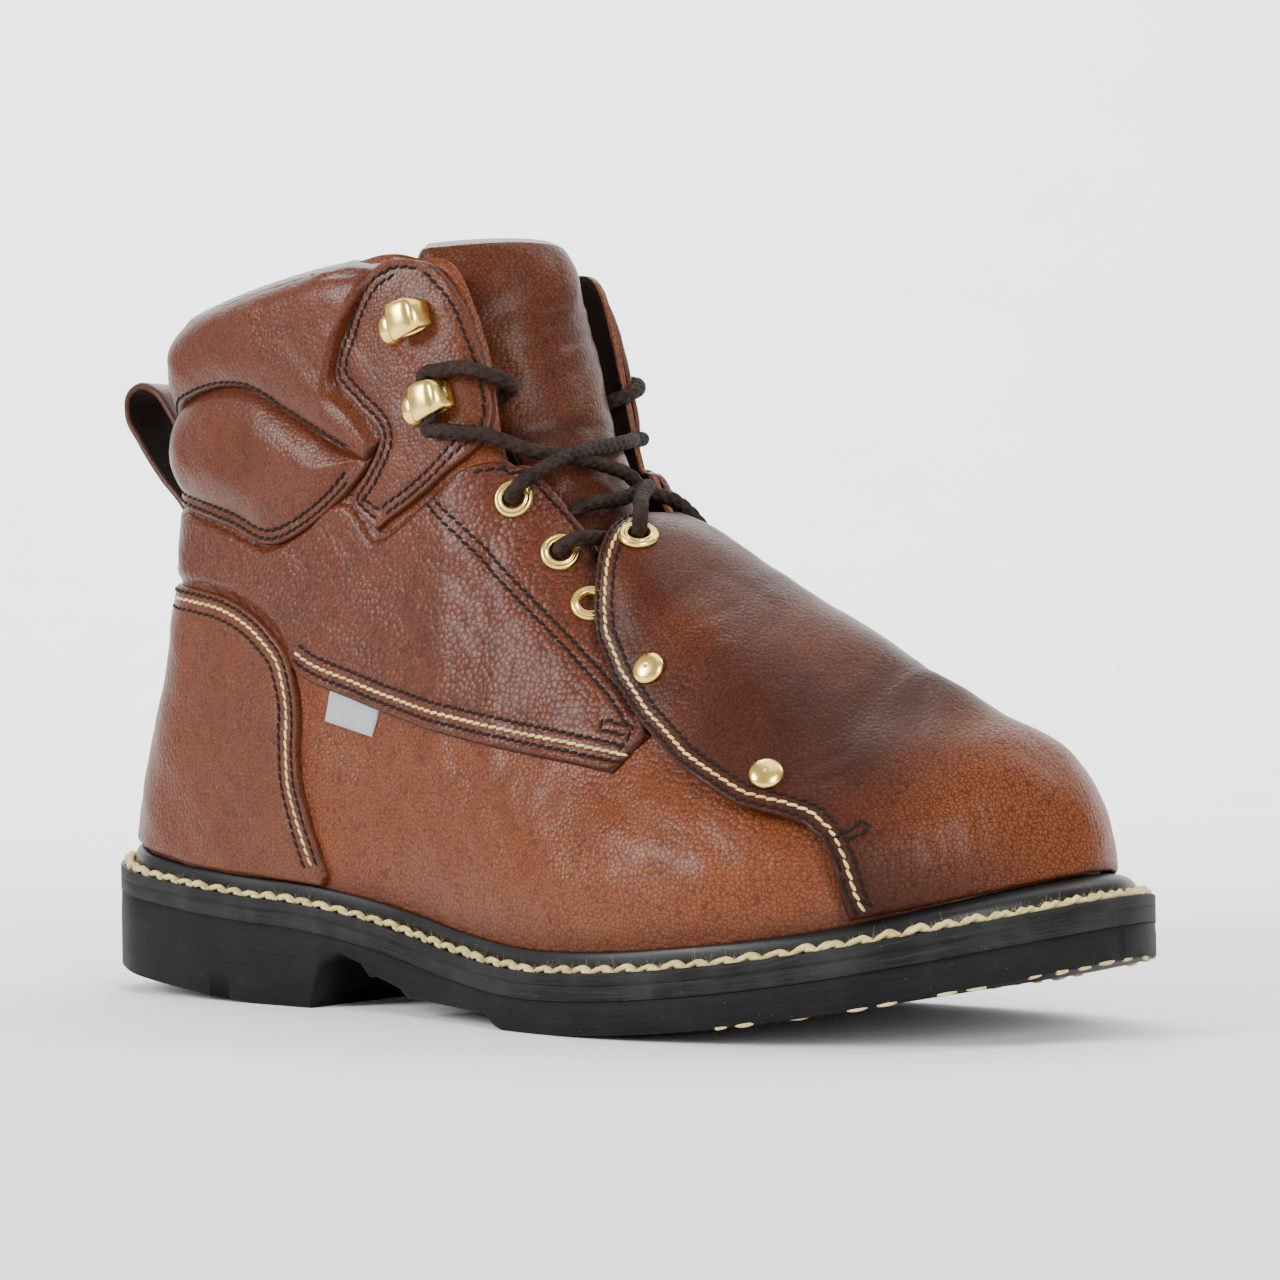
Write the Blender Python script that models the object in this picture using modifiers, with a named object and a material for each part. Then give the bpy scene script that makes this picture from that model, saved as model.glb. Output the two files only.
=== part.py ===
"""Work boot for the right foot: welted rubber sole, leather upper, instep guard and laces.

Lengths are in millimetres and become metres when a mesh is made. In the sections below the boot
points along +X, its outer (lateral) side faces -Y, and X starts at the back of the heel.
"""
import math

import bmesh
import bpy
import numpy as np
from mathutils import Matrix, Vector

# Driving sizes
MM = 0.001
GAP = 0.3
LENGTH = 308.0
HEEL_AXIS = (43.0, 0.0)
TOE_AXIS = (255.0, 5.0)
BOX_CENTRE = (153.975, -4.098)

HEEL_STACK = 27.6
FORE_STACK = 14.6
STACK_DROP = (70.0, 185.0)
HEEL_RISE = 8.0
HEEL_FLAT = 75.0
HEEL_RISE_POWER = 1.25
SPRING = 17.8
SPRING_FROM = 178.0
SPRING_POWER = 1.9

STITCH_LEDGE = 4.2
WELT_THICK = 3.0
MIDSOLE_THICK = 3.0
WELT_CLEAR = 0.8
BEAD_HEIGHT = 4.6
BEAD_SHOULDER = (0.65, 0.85)
INSOLE_THICK = 4.0
INSOLE_INSET = 15.4
WALL = 2.0
PANEL = 1.9
PANEL_LIFT = 1.0
PANEL_FOOT = 0.6
GUARD_WALL = 2.0
SOLE_STEP = 11.0

# Sole edge: station along the boot and half-widths from the heel's centre line
OUTLINE = [
    # x, lateral, medial
    (5, 19.5, 19.5),
    (19, 31.5, 31.5),
    (45, 37.0, 36.5),
    (85, 39.0, 35.0),
    (125, 42.2, 33.5),
    (150, 48.9, 37.0),
    (175, 55.5, 42.5),
    (200, 59.0, 47.5),
    (225, 57.9, 50.5),
    (250, 52.7, 50.5),
    (270, 44.7, 47.5),
    (288, 32.5, 41.5),
    (300, 16.4, 33.0),
]
TOE_TIP = (308, 14)

# Underside between heel and ball: height above the ground line
ARCH = [
    # x, lift
    (94.5, 0.0),
    (96.0, 6.0),
    (99.0, 11.5),
    (105.0, 14.4),
    (113.0, 12.3),
    (116.5, 9.0),
    (118.0, 9.6),
    (128.0, 7.0),
    (132.0, 4.6),
    (137.0, 4.7),
    (165.0, 3.5),
    (169.0, 0.8),
    (172.0, 0.0),
]

# Upper's sections: the rib at a station rises from the feather line to the collar, throat or ridge.
# Inset is from the sole's edge to the feather line and the low bulge is outside that line; reach is
# from the centre line; a height is a share of the way from the feather line to the edge.
SECTIONS = [
    # station, inset, low bulge, its height, mid reach, its height, high reach, its height, edge reach, edge z
    (0, 7.0, -4.5, 0.12, 21.5, 0.42, 15.5, 0.70, 12.5, 172.0),
    (20, 7.0, -3.0, 0.12, 23.0, 0.42, 17.5, 0.70, 17.0, 176.0),
    (43, 7.0, 0.5, 0.12, 28.5, 0.42, 25.5, 0.70, 27.0, 181.0),
    (70, 7.0, 1.5, 0.14, 32.0, 0.42, 31.0, 0.70, 32.0, 186.0),
    (100, 7.0, 2.0, 0.14, 34.0, 0.42, 33.0, 0.70, 33.0, 190.0),
    (125, 7.0, 2.0, 0.15, 36.0, 0.42, 33.5, 0.70, 31.5, 191.0),
    (140, 7.0, 2.0, 0.16, 38.5, 0.44, 33.5, 0.72, 28.5, 182.0),
    (147, 7.0, 2.0, 0.17, 39.5, 0.46, 33.8, 0.735, 27.0, 160.0),
    (150.5, 7.0, 2.0, 0.19, 40.0, 0.515, 34.0, 0.79, 28.0, 141.5),
    (157, 7.0, 2.0, 0.20, 41.2, 0.51, 34.0, 0.78, 25.0, 136.5),
    (164, 7.0, 2.0, 0.22, 42.5, 0.50, 34.0, 0.78, 22.0, 128.0),
    (178, 7.0, 2.0, 0.26, 45.0, 0.54, 34.5, 0.80, 19.0, 110.0),
    (192, 7.0, 2.0, 0.30, 46.5, 0.58, 35.0, 0.84, 16.5, 96.0),
    (206, 7.0, 2.0, 0.33, 46.0, 0.62, 30.0, 0.88, 0.0, 93.0),
    (228, 7.0, 2.0, 0.36, 42.5, 0.67, 25.5, 0.90, 0.0, 87.0),
    (255, 8.6, 0.5, 0.40, 35.5, 0.74, 20.5, 0.92, 0.0, 73.0),
    (273, 10.4, -3.0, 0.40, 29.5, 0.74, 16.5, 0.91, 0.0, 73.0),
    (290, 10.6, -5.0, 0.42, 29.5, 0.74, 16.5, 0.91, 0.0, 73.0),
    (308, 10.6, -5.0, 0.42, 29.5, 0.74, 16.5, 0.91, 0.0, 73.0),
]

# Guard over toe and instep: the same columns
GUARD_SECTIONS = [
    (174, 6.0, 5.0, 0.30, 40.0, 0.62, 27.0, 0.945, 0.0, 127.0),
    (190, 6.0, 5.0, 0.30, 44.0, 0.60, 27.0, 0.93, 0.0, 121.5),
    (206, 6.0, 5.0, 0.31, 46.5, 0.60, 28.5, 0.895, 0.0, 112.0),
    (228, 6.0, 4.5, 0.36, 45.0, 0.67, 28.0, 0.90, 0.0, 99.0),
    (255, 6.0, 3.5, 0.355, 39.0, 0.655, 23.5, 0.85, 0.0, 84.5),
    (273, 7.4, 0.5, 0.365, 33.2, 0.65, 19.5, 0.825, 0.0, 84.5),
    (290, 7.6, -1.6, 0.37, 33.2, 0.645, 19.5, 0.815, 0.0, 84.5),
    (308, 7.6, -1.6, 0.37, 33.2, 0.645, 19.5, 0.815, 0.0, 84.5),
]
GUARD_EDGE = [
    # station, height of the free edge
    (179.6, 119.0),
    (182.0, 108.5),
    (188.0, 95.5),
    (195.5, 86.0),
    (206.5, 76.0),
    (220.5, 67.0),
    (239.5, 56.0),
    (253.0, 52.5),
    (259.0, 49.0),
    (262.5, 40.0),
    (264.5, 26.0),
]
GUARD_STATIONS = [179.6, 182, 185, 188, 191, 195.5, 201, 206.5, 213, 220.5, 229, 239.5, 247, 253, 259.5, 262,
                  264.5]

# Panels on the upper: lower and upper edges as station and height, from the back to the front
COUNTER_TOP = [(0, 112), (20, 110.8), (45, 108.3), (60, 105.3), (74.5, 98), (82, 91), (85.5, 82),
               (88, 57), (97, 36)]
COUNTER_FOOT = [0, 20, 43, 70, 92]
QUARTER_LOW = [(16, 112.6), (45, 109.9), (60, 106.9), (75.5, 99.4), (84, 91.2), (107, 82.7), (132, 76),
               (156, 71.3), (179.5, 66.8), (202.5, 62.3)]
QUARTER_HIGH = [(16, 132.5), (25, 132.5), (45, 128), (61, 123.5), (77.5, 118.4), (92, 123), (104, 129.5),
                (115, 119.5), (134, 128.5), (145, 137), (153, 137.5), (164, 127), (178, 108.5), (186.5, 97),
                (192, 86), (197, 76), (202.5, 70)]
PAD_LOW = [(16, 134), (25, 134), (45, 129.6), (61, 125.2), (77.5, 120), (92, 124.6), (104, 132), (109, 136.5)]
PAD_HIGH = [(16, 149), (25, 152.5), (45, 159), (60.5, 160.7), (70, 159.5), (85.5, 151.8), (103, 142.6),
            (110, 138.5)]
COLLAR_LOW = [(0, 148), (16, 150.8), (25, 154.2), (45, 160.7), (60.5, 162.4), (70, 161.2), (85.5, 153.5),
              (103.5, 144.2), (112, 140.2)]
COLLAR_HIGH = [(0, 172), (20, 176), (43, 181), (70, 186), (98, 189.5), (110, 185), (102.5, 173.5),
               (99.5, 161.5), (107, 153.2), (114.3, 145.5)]
STAY_BACK = [(121, 190.5), (114.5, 187.5), (105, 173.5), (101.8, 161.5), (109, 154), (117, 145.5),
             (112.5, 136.5), (107.5, 130.2), (116, 122.3)]
STAY_FRONT = [(123, 190.6), (131.5, 188.5), (139, 180), (143, 170), (147, 157), (148.3, 150), (147.5, 144.2),
              (135, 133), (117.5, 123)]
TAG_LOW = [(97.5, 73.3), (115.5, 71.8)]
TAG_HIGH = [(97, 85), (115.5, 79.3)]
COLLAR_PUFF = 3.0
PAD_PUFF = 2.6
PUFF_FADE = 1.6

# Tongue: middle line of its front face, half-width and how far its sides fall back
TONGUE = [
    # x, z, half-width, fall
    (203, 82, 12.0, 5.0),
    (190, 95, 14.0, 7.0),
    (177, 111, 16.0, 9.0),
    (165, 130, 18.5, 13.0),
    (156, 152, 22.0, 18.0),
    (150, 172, 25.0, 24.0),
    (148, 184, 27.0, 34.0),
    (145.5, 192, 26.0, 36.0),
    (141, 197, 20.0, 28.0),
]
TONGUE_THICK = [3.0, 3.0, 3.5, 5.0, 7.0, 8.0, 8.0, 7.0, 4.0]
TONGUE_WRAP = math.radians(78)
TONGUE_SIDE_LOSS = 0.6

# Back strap and pull loop: middle line in the boot's centre plane
LOOP = [(23.1, 113.6), (24.0, 120.5), (24.5, 127), (21.5, 133.5), (14.5, 142.5), (6.5, 153.5), (2.2, 160.5),
        (2.6, 165.6), (6.6, 168), (11.6, 165.2), (16.2, 158.5), (20.2, 152), (25.6, 144.6)]
LOOP_WIDTH = 20.0
LOOP_THICK = 2.0

# Metal fittings: station and height on their panel
EYELETS = [(155.5, 127.5), (167.5, 113.5), (175.6, 103.2)]
GUARD_EYELET = (188.0, 22.5)
HOOKS = [(124.5, 173.8), (132.0, 152.8)]
RIVETS = [(204.0, 85.8), (242.0, 61.2)]
EYELET_RADIUS = 3.9
EYELET_BEAD = 1.1
RIVET_RADIUS = 4.0
RIVET_HEIGHT = 1.7
RIVET_TOP = 2.4
HOOK_WIDTH = 7.5
HOOK_THICK = 1.0
HOOK_PATH = [(-5.5, 0.0), (6.6, 0.0), (8.4, 1.6), (8.6, 3.6), (7.0, 5.0), (1.5, 4.6)]

# Heel and ball tread: middle, width along the boot, reach to each side and depth of each groove
GROOVES = [
    # x, width, lateral, medial, depth
    (61.0, 8.0, 60.0, 60.0, 5.0),
    (32.0, 6.0, 22.0, 22.0, 4.0),
    (192.0, 6.0, 46.0, 34.0, 4.0),
    (211.0, 6.0, 46.0, 38.0, 4.0),
    (230.0, 6.0, 44.0, 39.0, 4.0),
    (249.0, 6.0, 38.0, 38.0, 4.0),
    (268.0, 6.0, 28.0, 34.0, 4.0),
]

# Lace: strands between eyelets, hooks and guard, as points on their middle lines
LACE_RADIUS = 1.9
LACE_SIDES = 2
LACE_STEP = 5.5
LACE_CROSSINGS = [
    [(157.6, -30.0, 128.6), (158.7, -32.3, 129.1), (161.0, -32.0, 131.5), (164.0, -28.0, 135.0),
     (165.5, -20.0, 138.5), (165.0, -10.0, 140.8), (164.0, -2.0, 142.0), (162.2, 7.5, 143.4),
     (158.8, 16.0, 144.6), (154.8, 23.5, 145.4), (152.2, 28.8, 145.9), (151.2, 33.4, 146.1),
     (148.0, 36.4, 146.2), (143.0, 37.5, 146.2), (138.0, 37.9, 146.2), (134.0, 38.0, 146.0)],
    [(134.8, -36.3, 146.5), (139.5, -35.9, 146.1), (145.0, -34.7, 145.3), (149.9, -32.1, 144.6),
     (154.5, -28.8, 142.6), (159.0, -25.0, 140.4), (163.5, -16.0, 139.0), (165.3, -5.0, 137.4),
     (168.0, 2.0, 135.0), (171.0, 5.0, 131.3), (173.2, 9.0, 129.2), (176.5, 14.0, 128.2),
     (181.0, 19.5, 127.4), (186.0, 24.5, 125.8), (189.5, 27.8, 124.0)],
    [(168.5, -18.5, 126.4), (169.5, -10.0, 127.6), (171.0, -2.0, 129.0), (172.3, 2.8, 131.0),
     (177.0, -1.0, 131.4), (182.0, -9.0, 129.6), (186.0, -15.5, 127.2), (189.8, -20.3, 124.9)],
]
LACE_BAR = [(170.0, -27.1, 115.2), (171.2, -29.3, 115.9), (174.3, -27.8, 117.6), (176.3, -21.0, 118.2),
            (176.6, -9.0, 116.8), (176.6, 3.2, 116.8), (176.4, 15.0, 117.2), (176.4, 22.0, 118.4),
            (175.5, 28.5, 119.2), (173.7, 33.4, 118.2), (171.2, 34.8, 116.5), (169.8, 32.5, 115.2)]
LACE_END_LATERAL = [(133.4, -35.5, 160.3), (137.8, -35.0, 161.0), (142.9, -33.5, 161.5),
                    (148.0, -30.8, 160.4), (150.6, -27.9, 159.0), (151.2, -24.0, 157.8),
                    (149.2, -20.6, 156.6), (145.8, -19.6, 155.4), (142.9, -21.7, 154.4)]
LACE_END_MEDIAL = [(133.4, 37.8, 160.2), (137.5, 37.5, 160.7), (142.1, 36.8, 161.3),
                   (147.3, 35.2, 160.6), (150.2, 32.8, 159.0), (151.4, 28.8, 157.8),
                   (149.6, 25.0, 156.6), (146.3, 24.3, 155.4), (143.3, 26.0, 154.4)]

LEVELS = (0.0, 0.25, 0.5, 0.75, 1.0)


# Curves through a few points
def smooth(t, points, at):
    """Read a smooth curve that passes through the points at the values t."""
    t = np.asarray(t, float)
    points = np.asarray(points, float)
    flat = points.ndim == 1
    rows = points[:, None] if flat else points
    step = np.diff(t)[:, None]
    rise = np.diff(rows, axis=0) / step
    slope = np.zeros_like(rows)
    slope[1:-1] = (rise[:-1] * step[1:] + rise[1:] * step[:-1]) / (step[1:] + step[:-1])
    slope[0] = rise[0]
    slope[-1] = rise[-1]
    at = np.clip(np.asarray(at, float), t[0], t[-1])
    k = np.clip(np.searchsorted(t, at, side="right") - 1, 0, len(t) - 2)
    width = (t[k + 1] - t[k])[..., None]
    s = (at - t[k])[..., None] / width
    start = rows[k] * (1 + 2 * s) * (1 - s) ** 2 + slope[k] * width * s * (1 - s) ** 2
    end = rows[k + 1] * s * s * (3 - 2 * s) + slope[k + 1] * width * s * s * (s - 1)
    out = start + end
    return out[..., 0] if flat else out


def chord(points):
    """Running length along the points."""
    points = np.asarray(points, float)
    return np.concatenate([[0.0], np.cumsum(np.linalg.norm(np.diff(points, axis=0), axis=1))])


def along(points, count):
    """Evenly spaced points on a smooth curve through the points."""
    t = chord(points)
    return smooth(t, points, np.linspace(0, t[-1], count))


def ease(start, end, x):
    """0 before start, 1 after end, and an S-curve between."""
    s = np.clip((np.asarray(x, float) - start) / (end - start), 0, 1)
    return s * s * (3 - 2 * s)


# Sole lines
def sole_edge(count):
    """Closed outline of the sole, clockwise from the heel's back along the lateral side."""
    lateral = [(x, -out) for x, out, _ in OUTLINE]
    medial = [(x, out) for x, _, out in OUTLINE[::-1]]
    loop = [(0.0, 0.0)] + lateral + [TOE_TIP] + medial + [(0.0, 0.0)]
    padded = np.array(loop[-3:-1] + loop + loop[1:3], float)
    t = chord(padded)
    return smooth(t, padded, np.linspace(t[2], t[-3], count))


SOLE_EDGE = sole_edge(1600)


def ground_line(x):
    """Lowest line of the sole: heel rise, flat stretch and toe spring."""
    x = np.asarray(x, float)
    back = np.clip((HEEL_FLAT - x) / HEEL_FLAT, 0, 1)
    front = np.clip((x - SPRING_FROM) / (LENGTH - SPRING_FROM), 0, 1)
    return HEEL_RISE * back ** HEEL_RISE_POWER + SPRING * front ** SPRING_POWER


def stack_top(x):
    """Top of the welt ledge."""
    drop = ease(*STACK_DROP, x)
    return ground_line(x) + HEEL_STACK * (1 - drop) + FORE_STACK * drop


def underside(x):
    """Bottom of the outsole with its arch."""
    rows = np.array(ARCH)
    return ground_line(x) + np.interp(x, rows[:, 0], rows[:, 1], left=0, right=0)


# Ribs of the upper
def centre_line(x):
    """Sideways place of the boot's centre line."""
    return np.interp(x, (HEEL_AXIS[0], TOE_AXIS[0]), (HEEL_AXIS[1], TOE_AXIS[1]))


def rib_frame(station, side):
    """Foot and direction of the rib at a station; side is -1 lateral, +1 medial."""
    q = np.asarray(station, float)
    centre_x = np.clip(q, HEEL_AXIS[0], TOE_AXIS[0])
    centre_y = centre_line(centre_x)
    heel_turn = np.clip((HEEL_AXIS[0] - q) / HEEL_AXIS[0], 0, 1)
    toe_turn = np.clip((q - TOE_AXIS[0]) / (LENGTH - TOE_AXIS[0]), 0, 1)
    angle = math.pi / 2 * (1 + heel_turn - toe_turn)
    return centre_x, centre_y, np.cos(angle), np.sin(angle) * side


def reach(station, side):
    """Distance from the rib's foot to the sole's edge."""
    frames = np.stack(np.broadcast_arrays(*rib_frame(station, side)), -1).reshape(-1, 4)
    start = SOLE_EDGE[:-1]
    run = SOLE_EDGE[1:] - start
    out = []
    for x, y, dx, dy in frames:
        cross = dx * run[:, 1] - dy * run[:, 0]
        cross = np.where(np.abs(cross) < 1e-9, 1e-9, cross)
        far = ((start[:, 0] - x) * run[:, 1] - (start[:, 1] - y) * run[:, 0]) / cross
        part = ((start[:, 0] - x) * dy - (start[:, 1] - y) * dx) / cross
        hit = (part >= 0) & (part <= 1) & (far > 0)
        out.append(far[hit].max())
    return np.array(out).reshape(np.shape(station))


def rib(station, side, level, table):
    """Points of the ribs at the stations (rows) and levels (columns) of a table of sections.

    The ribs of the toe all end in one point above its axis.
    """
    station = np.atleast_1d(np.asarray(station, float))
    level = np.atleast_1d(np.asarray(level, float))
    rows = np.array(table, float)
    row = smooth(rows[:, 0], rows[:, 1:], station)
    inset, bulge, bulge_at, middle, middle_at, high, high_at, edge, top = row.T
    top = smooth(rows[:, 0], rows[:, -1], np.minimum(station, TOE_AXIS[0]))
    lateral = reach(station, -1) - inset
    own = reach(station, side) - inset
    x, y, dx, dy = rib_frame(station, side)
    foot = stack_top(x + dx * (own + inset)) - WELT_THICK
    out = np.zeros((len(station), len(level), 3))
    for i in range(len(station)):
        radii = (lateral[i], lateral[i] + bulge[i], middle[i], high[i], max(0.0, edge[i]))
        shares = np.array((0.0, bulge_at[i], middle_at[i], high_at[i], 1.0))
        radius = smooth(LEVELS, radii, level) * (own[i] / lateral[i]) ** (1 - level)
        out[i, :, 0] = x[i] + dx[i] * radius
        out[i, :, 1] = y[i] + dy[i] * radius
        out[i, :, 2] = smooth(LEVELS, foot[i] + shares * (top[i] - foot[i]), level)
    return out


def wall_point(station, level, table, lift=0.0):
    """Point on the wall, raised along its normal; a station below 0 is on the medial side."""
    side = -1 if station >= 0 else 1
    q = abs(station)
    dq = 0.4
    dl = 0.004
    q0 = np.clip(q, dq, LENGTH - dq)
    l0 = np.clip(level, dl, 1 - dl)
    here = rib(q, side, level, table)[0, 0]
    before, after = rib([q0 - dq, q0 + dq], side, l0, table)[:, 0]
    low, high = rib(q0, side, [l0 - dl, l0 + dl], table)[0]
    normal = np.cross(after - before, high - low) * -side
    normal /= np.linalg.norm(normal)
    return here + normal * lift, normal


def level_at(station, z, table):
    """Level on the rib at which it reaches a height."""
    levels = np.linspace(0, 1, 81)
    side = -1 if station >= 0 else 1
    heights = rib(abs(station), side, levels, table)[0, :, 2]
    return float(np.interp(z, np.maximum.accumulate(heights), levels))


# Meshes
def clear_scene():
    for item in list(bpy.data.objects):
        bpy.data.objects.remove(item, do_unlink=True)


def material(name, colour, roughness, metallic=0.0):
    found = bpy.data.materials.get(name)
    if found:
        return found
    made = bpy.data.materials.new(name)
    made.use_nodes = True
    shader = made.node_tree.nodes["Principled BSDF"]
    shader.inputs["Base Color"].default_value = (*colour, 1)
    shader.inputs["Roughness"].default_value = roughness
    shader.inputs["Metallic"].default_value = metallic
    made.diffuse_color = (*colour, 1)
    return made


LEATHER = ("leather", (0.20, 0.075, 0.04), 0.5)
RUBBER = ("rubber", (0.02, 0.02, 0.02), 0.7)
BRASS = ("brass", (0.80, 0.62, 0.32), 0.25, 1.0)
LACE = ("lace", (0.03, 0.018, 0.012), 0.8)
LINING = ("lining", (0.35, 0.34, 0.32), 0.9)
GREY = ("grey_cloth", (0.40, 0.41, 0.42), 0.6)


def add_object(name, mesh, look):
    made = bpy.data.objects.new(name, mesh)
    mesh.materials.append(material(*look))
    mesh.shade_smooth()
    mesh.set_sharp_from_angle(angle=math.radians(40))
    bpy.data.collections["work_boot"].objects.link(made)
    return made


def finish(bm, name, look):
    """Turn a mesh under construction, in millimetres, into an object in metres."""
    bmesh.ops.remove_doubles(bm, verts=bm.verts, dist=0.001)
    bmesh.ops.dissolve_degenerate(bm, edges=bm.edges, dist=0.001)
    shift = Matrix.Translation((-BOX_CENTRE[0], -BOX_CENTRE[1], 0))
    bmesh.ops.transform(bm, matrix=Matrix.Scale(MM, 4) @ shift, verts=bm.verts)
    mesh = bpy.data.meshes.new(name)
    bm.to_mesh(mesh)
    bm.free()
    return add_object(name, mesh, look)


def grid_faces(bm, points, flip=False):
    """Quads between the rows and columns of an array of points."""
    verts = [[bm.verts.new(p) for p in row] for row in points]
    for i in range(len(verts) - 1):
        for j in range(len(verts[0]) - 1):
            corner = [verts[i][j], verts[i + 1][j], verts[i + 1][j + 1], verts[i][j + 1]]
            bm.faces.new(corner[::-1] if flip else corner)
    return verts


def loft(sections, name, look, closed=False):
    """Closed solid through sections, each a ring of an even number of points."""
    bm = bmesh.new()
    verts = [[bm.verts.new(p) for p in ring] for ring in sections]
    count = len(verts[0])
    turns = len(verts) if closed else len(verts) - 1
    for i in range(turns):
        a = verts[i]
        b = verts[(i + 1) % len(verts)]
        for j in range(count):
            k = (j + 1) % count
            bm.faces.new((a[j], b[j], b[k], a[k]))
    if not closed:
        for ring in (verts[0], verts[-1]):
            for j in range(count // 2 - 1):
                bm.faces.new((ring[j], ring[j + 1], ring[count - 2 - j], ring[count - 1 - j]))
    bmesh.ops.remove_doubles(bm, verts=bm.verts, dist=0.001)
    bmesh.ops.recalc_face_normals(bm, faces=bm.faces)
    return finish(bm, name, look)


def sheet(outer, inner, name, look):
    """Closed solid between two matching arrays of points."""
    sections = [list(out) + list(back)[::-1] for out, back in zip(outer, inner)]
    return loft(sections, name, look)


def shell(halves, name, look, thick):
    """Open surface of welded halves, thickened inwards."""
    bm = bmesh.new()
    for points, flip in halves:
        grid_faces(bm, points, flip)
    made = finish(bm, name, look)
    solid = made.modifiers.new("wall", "SOLIDIFY")
    solid.thickness = thick * MM
    solid.offset = -1
    solid.use_even_offset = True
    return made


# Sole
def edge_point(station, side, inset):
    x, y, dx, dy = (float(v) for v in rib_frame(station, side))
    out = float(reach(station, side)) - inset
    return x + dx * out, y + dy * out


def sole_layer(name, look, stations, inset, top, bottom):
    """Layer of the sole between two heights that follow the boot's length."""
    sections = []
    for q in stations:
        left = edge_point(q, -1, inset)
        right = edge_point(q, 1, inset)
        sections.append([(*left, top(left[0])), (*right, top(right[0])),
                         (*right, bottom(right[0])), (*left, bottom(left[0]))])
    return loft(sections, name, look)


def sole_stations(extra=()):
    heel = np.linspace(0, HEEL_AXIS[0], 8)
    sides = np.arange(HEEL_AXIS[0] + SOLE_STEP, TOE_AXIS[0] - SOLE_STEP / 2, SOLE_STEP)
    toe = np.linspace(TOE_AXIS[0], LENGTH, 10)
    every = np.concatenate([heel, sides, toe, np.array(extra, float)])
    every = np.unique(np.round(every, 2))
    keep = [every[0]]
    for q in every[1:]:
        if q - keep[-1] > 1.0 or q in extra:
            keep.append(q)
    return keep


def cut(target, cutter):
    knife = target.modifiers.new("cut", "BOOLEAN")
    knife.operation = "DIFFERENCE"
    knife.solver = "EXACT"
    knife.object = cutter


def groove_cutter(index, x, width, lateral, medial, depth):
    low = -2.0
    high = float(ground_line(x)) + depth
    bpy.ops.mesh.primitive_cube_add(size=1)
    box = bpy.context.object
    box.name = f"groove_{index}"
    middle = Vector((x - BOX_CENTRE[0], (medial - lateral) / 2 - BOX_CENTRE[1], (low + high) / 2))
    size = Matrix.Diagonal((width * MM, (lateral + medial) * MM, (high - low) * MM, 1))
    box.data.transform(Matrix.Translation(middle * MM) @ size)
    for home in box.users_collection:
        home.objects.unlink(box)
    bpy.data.collections["cutters"].objects.link(box)
    box.hide_render = True
    box.display_type = "WIRE"
    return box


def make_sole():
    def layer_top(below):
        return lambda x: float(stack_top(x)) - below

    midsole_top = WELT_THICK + GAP
    outsole_top = midsole_top + MIDSOLE_THICK + GAP
    arch_rows = tuple(x for x, _ in ARCH) + (HEEL_FLAT, SPRING_FROM)
    outsole = sole_layer("outsole", RUBBER, sole_stations(arch_rows), 0.0,
                         layer_top(outsole_top), lambda x: float(underside(x)))
    for index, groove in enumerate(GROOVES):
        cut(outsole, groove_cutter(index, *groove))
    sole_layer("midsole", RUBBER, sole_stations(), 0.0, layer_top(midsole_top), layer_top(outsole_top - GAP))
    sole_layer("insole", LINING, sole_stations(), INSOLE_INSET,
               layer_top(WELT_THICK - INSOLE_THICK), layer_top(WELT_THICK))


def make_welt():
    """Ledge around the boot with a rounded bead against the upper."""
    sections = []
    lateral = [(q, -1) for q in sole_stations()]
    medial = [(q, 1) for q in sole_stations()[-2:0:-1]]
    for q, side in lateral + medial:
        x, y, dx, dy = (float(v) for v in rib_frame(q, side))
        out = float(reach(q, side))
        ledge = float(stack_top(x + dx * out))
        wall = rib(q, side, np.linspace(0, 0.3, 31), SECTIONS)[0]
        radius = np.hypot(wall[:, 0] - x, wall[:, 1] - y)

        def beside(z):
            return float(np.interp(z, wall[:, 2], radius)) + WELT_CLEAR

        low = max(beside(ledge - WELT_THICK), beside(ledge))
        high = max(low, beside(ledge + BEAD_HEIGHT))
        bead = out - STITCH_LEDGE
        shoulder = (high + BEAD_SHOULDER[0] * (bead - high), ledge + BEAD_SHOULDER[1] * BEAD_HEIGHT)
        profile = [(low, ledge - WELT_THICK), (low, ledge), (high, ledge + BEAD_HEIGHT), shoulder,
                   (bead, ledge), (out, ledge), (out, ledge - WELT_THICK)]
        sections.append([(x + dx * r, y + dy * r, z) for r, z in profile])
    return loft(sections, "welt", RUBBER, closed=True)


# Upper and its panels
def wall_stations():
    heel = np.linspace(0, HEEL_AXIS[0], 7)
    sides = np.array([56, 70, 85, 100, 114, 125, 134, 141, 147, 150.5, 157, 164, 171, 178, 185, 192, 199, 206,
                      215, 225, 240], float)
    toe = np.linspace(TOE_AXIS[0], LENGTH, 7)
    return np.concatenate([heel, sides, toe])


def make_upper():
    levels = [0, 0.09, 0.2, 0.33, 0.46, 0.6, 0.74, 0.87, 1.0]
    q = wall_stations()
    halves = [(rib(q, -1, levels, SECTIONS), False), (rib(q, 1, levels, SECTIONS), True)]
    return shell(halves, "upper", LEATHER, WALL)


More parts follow.
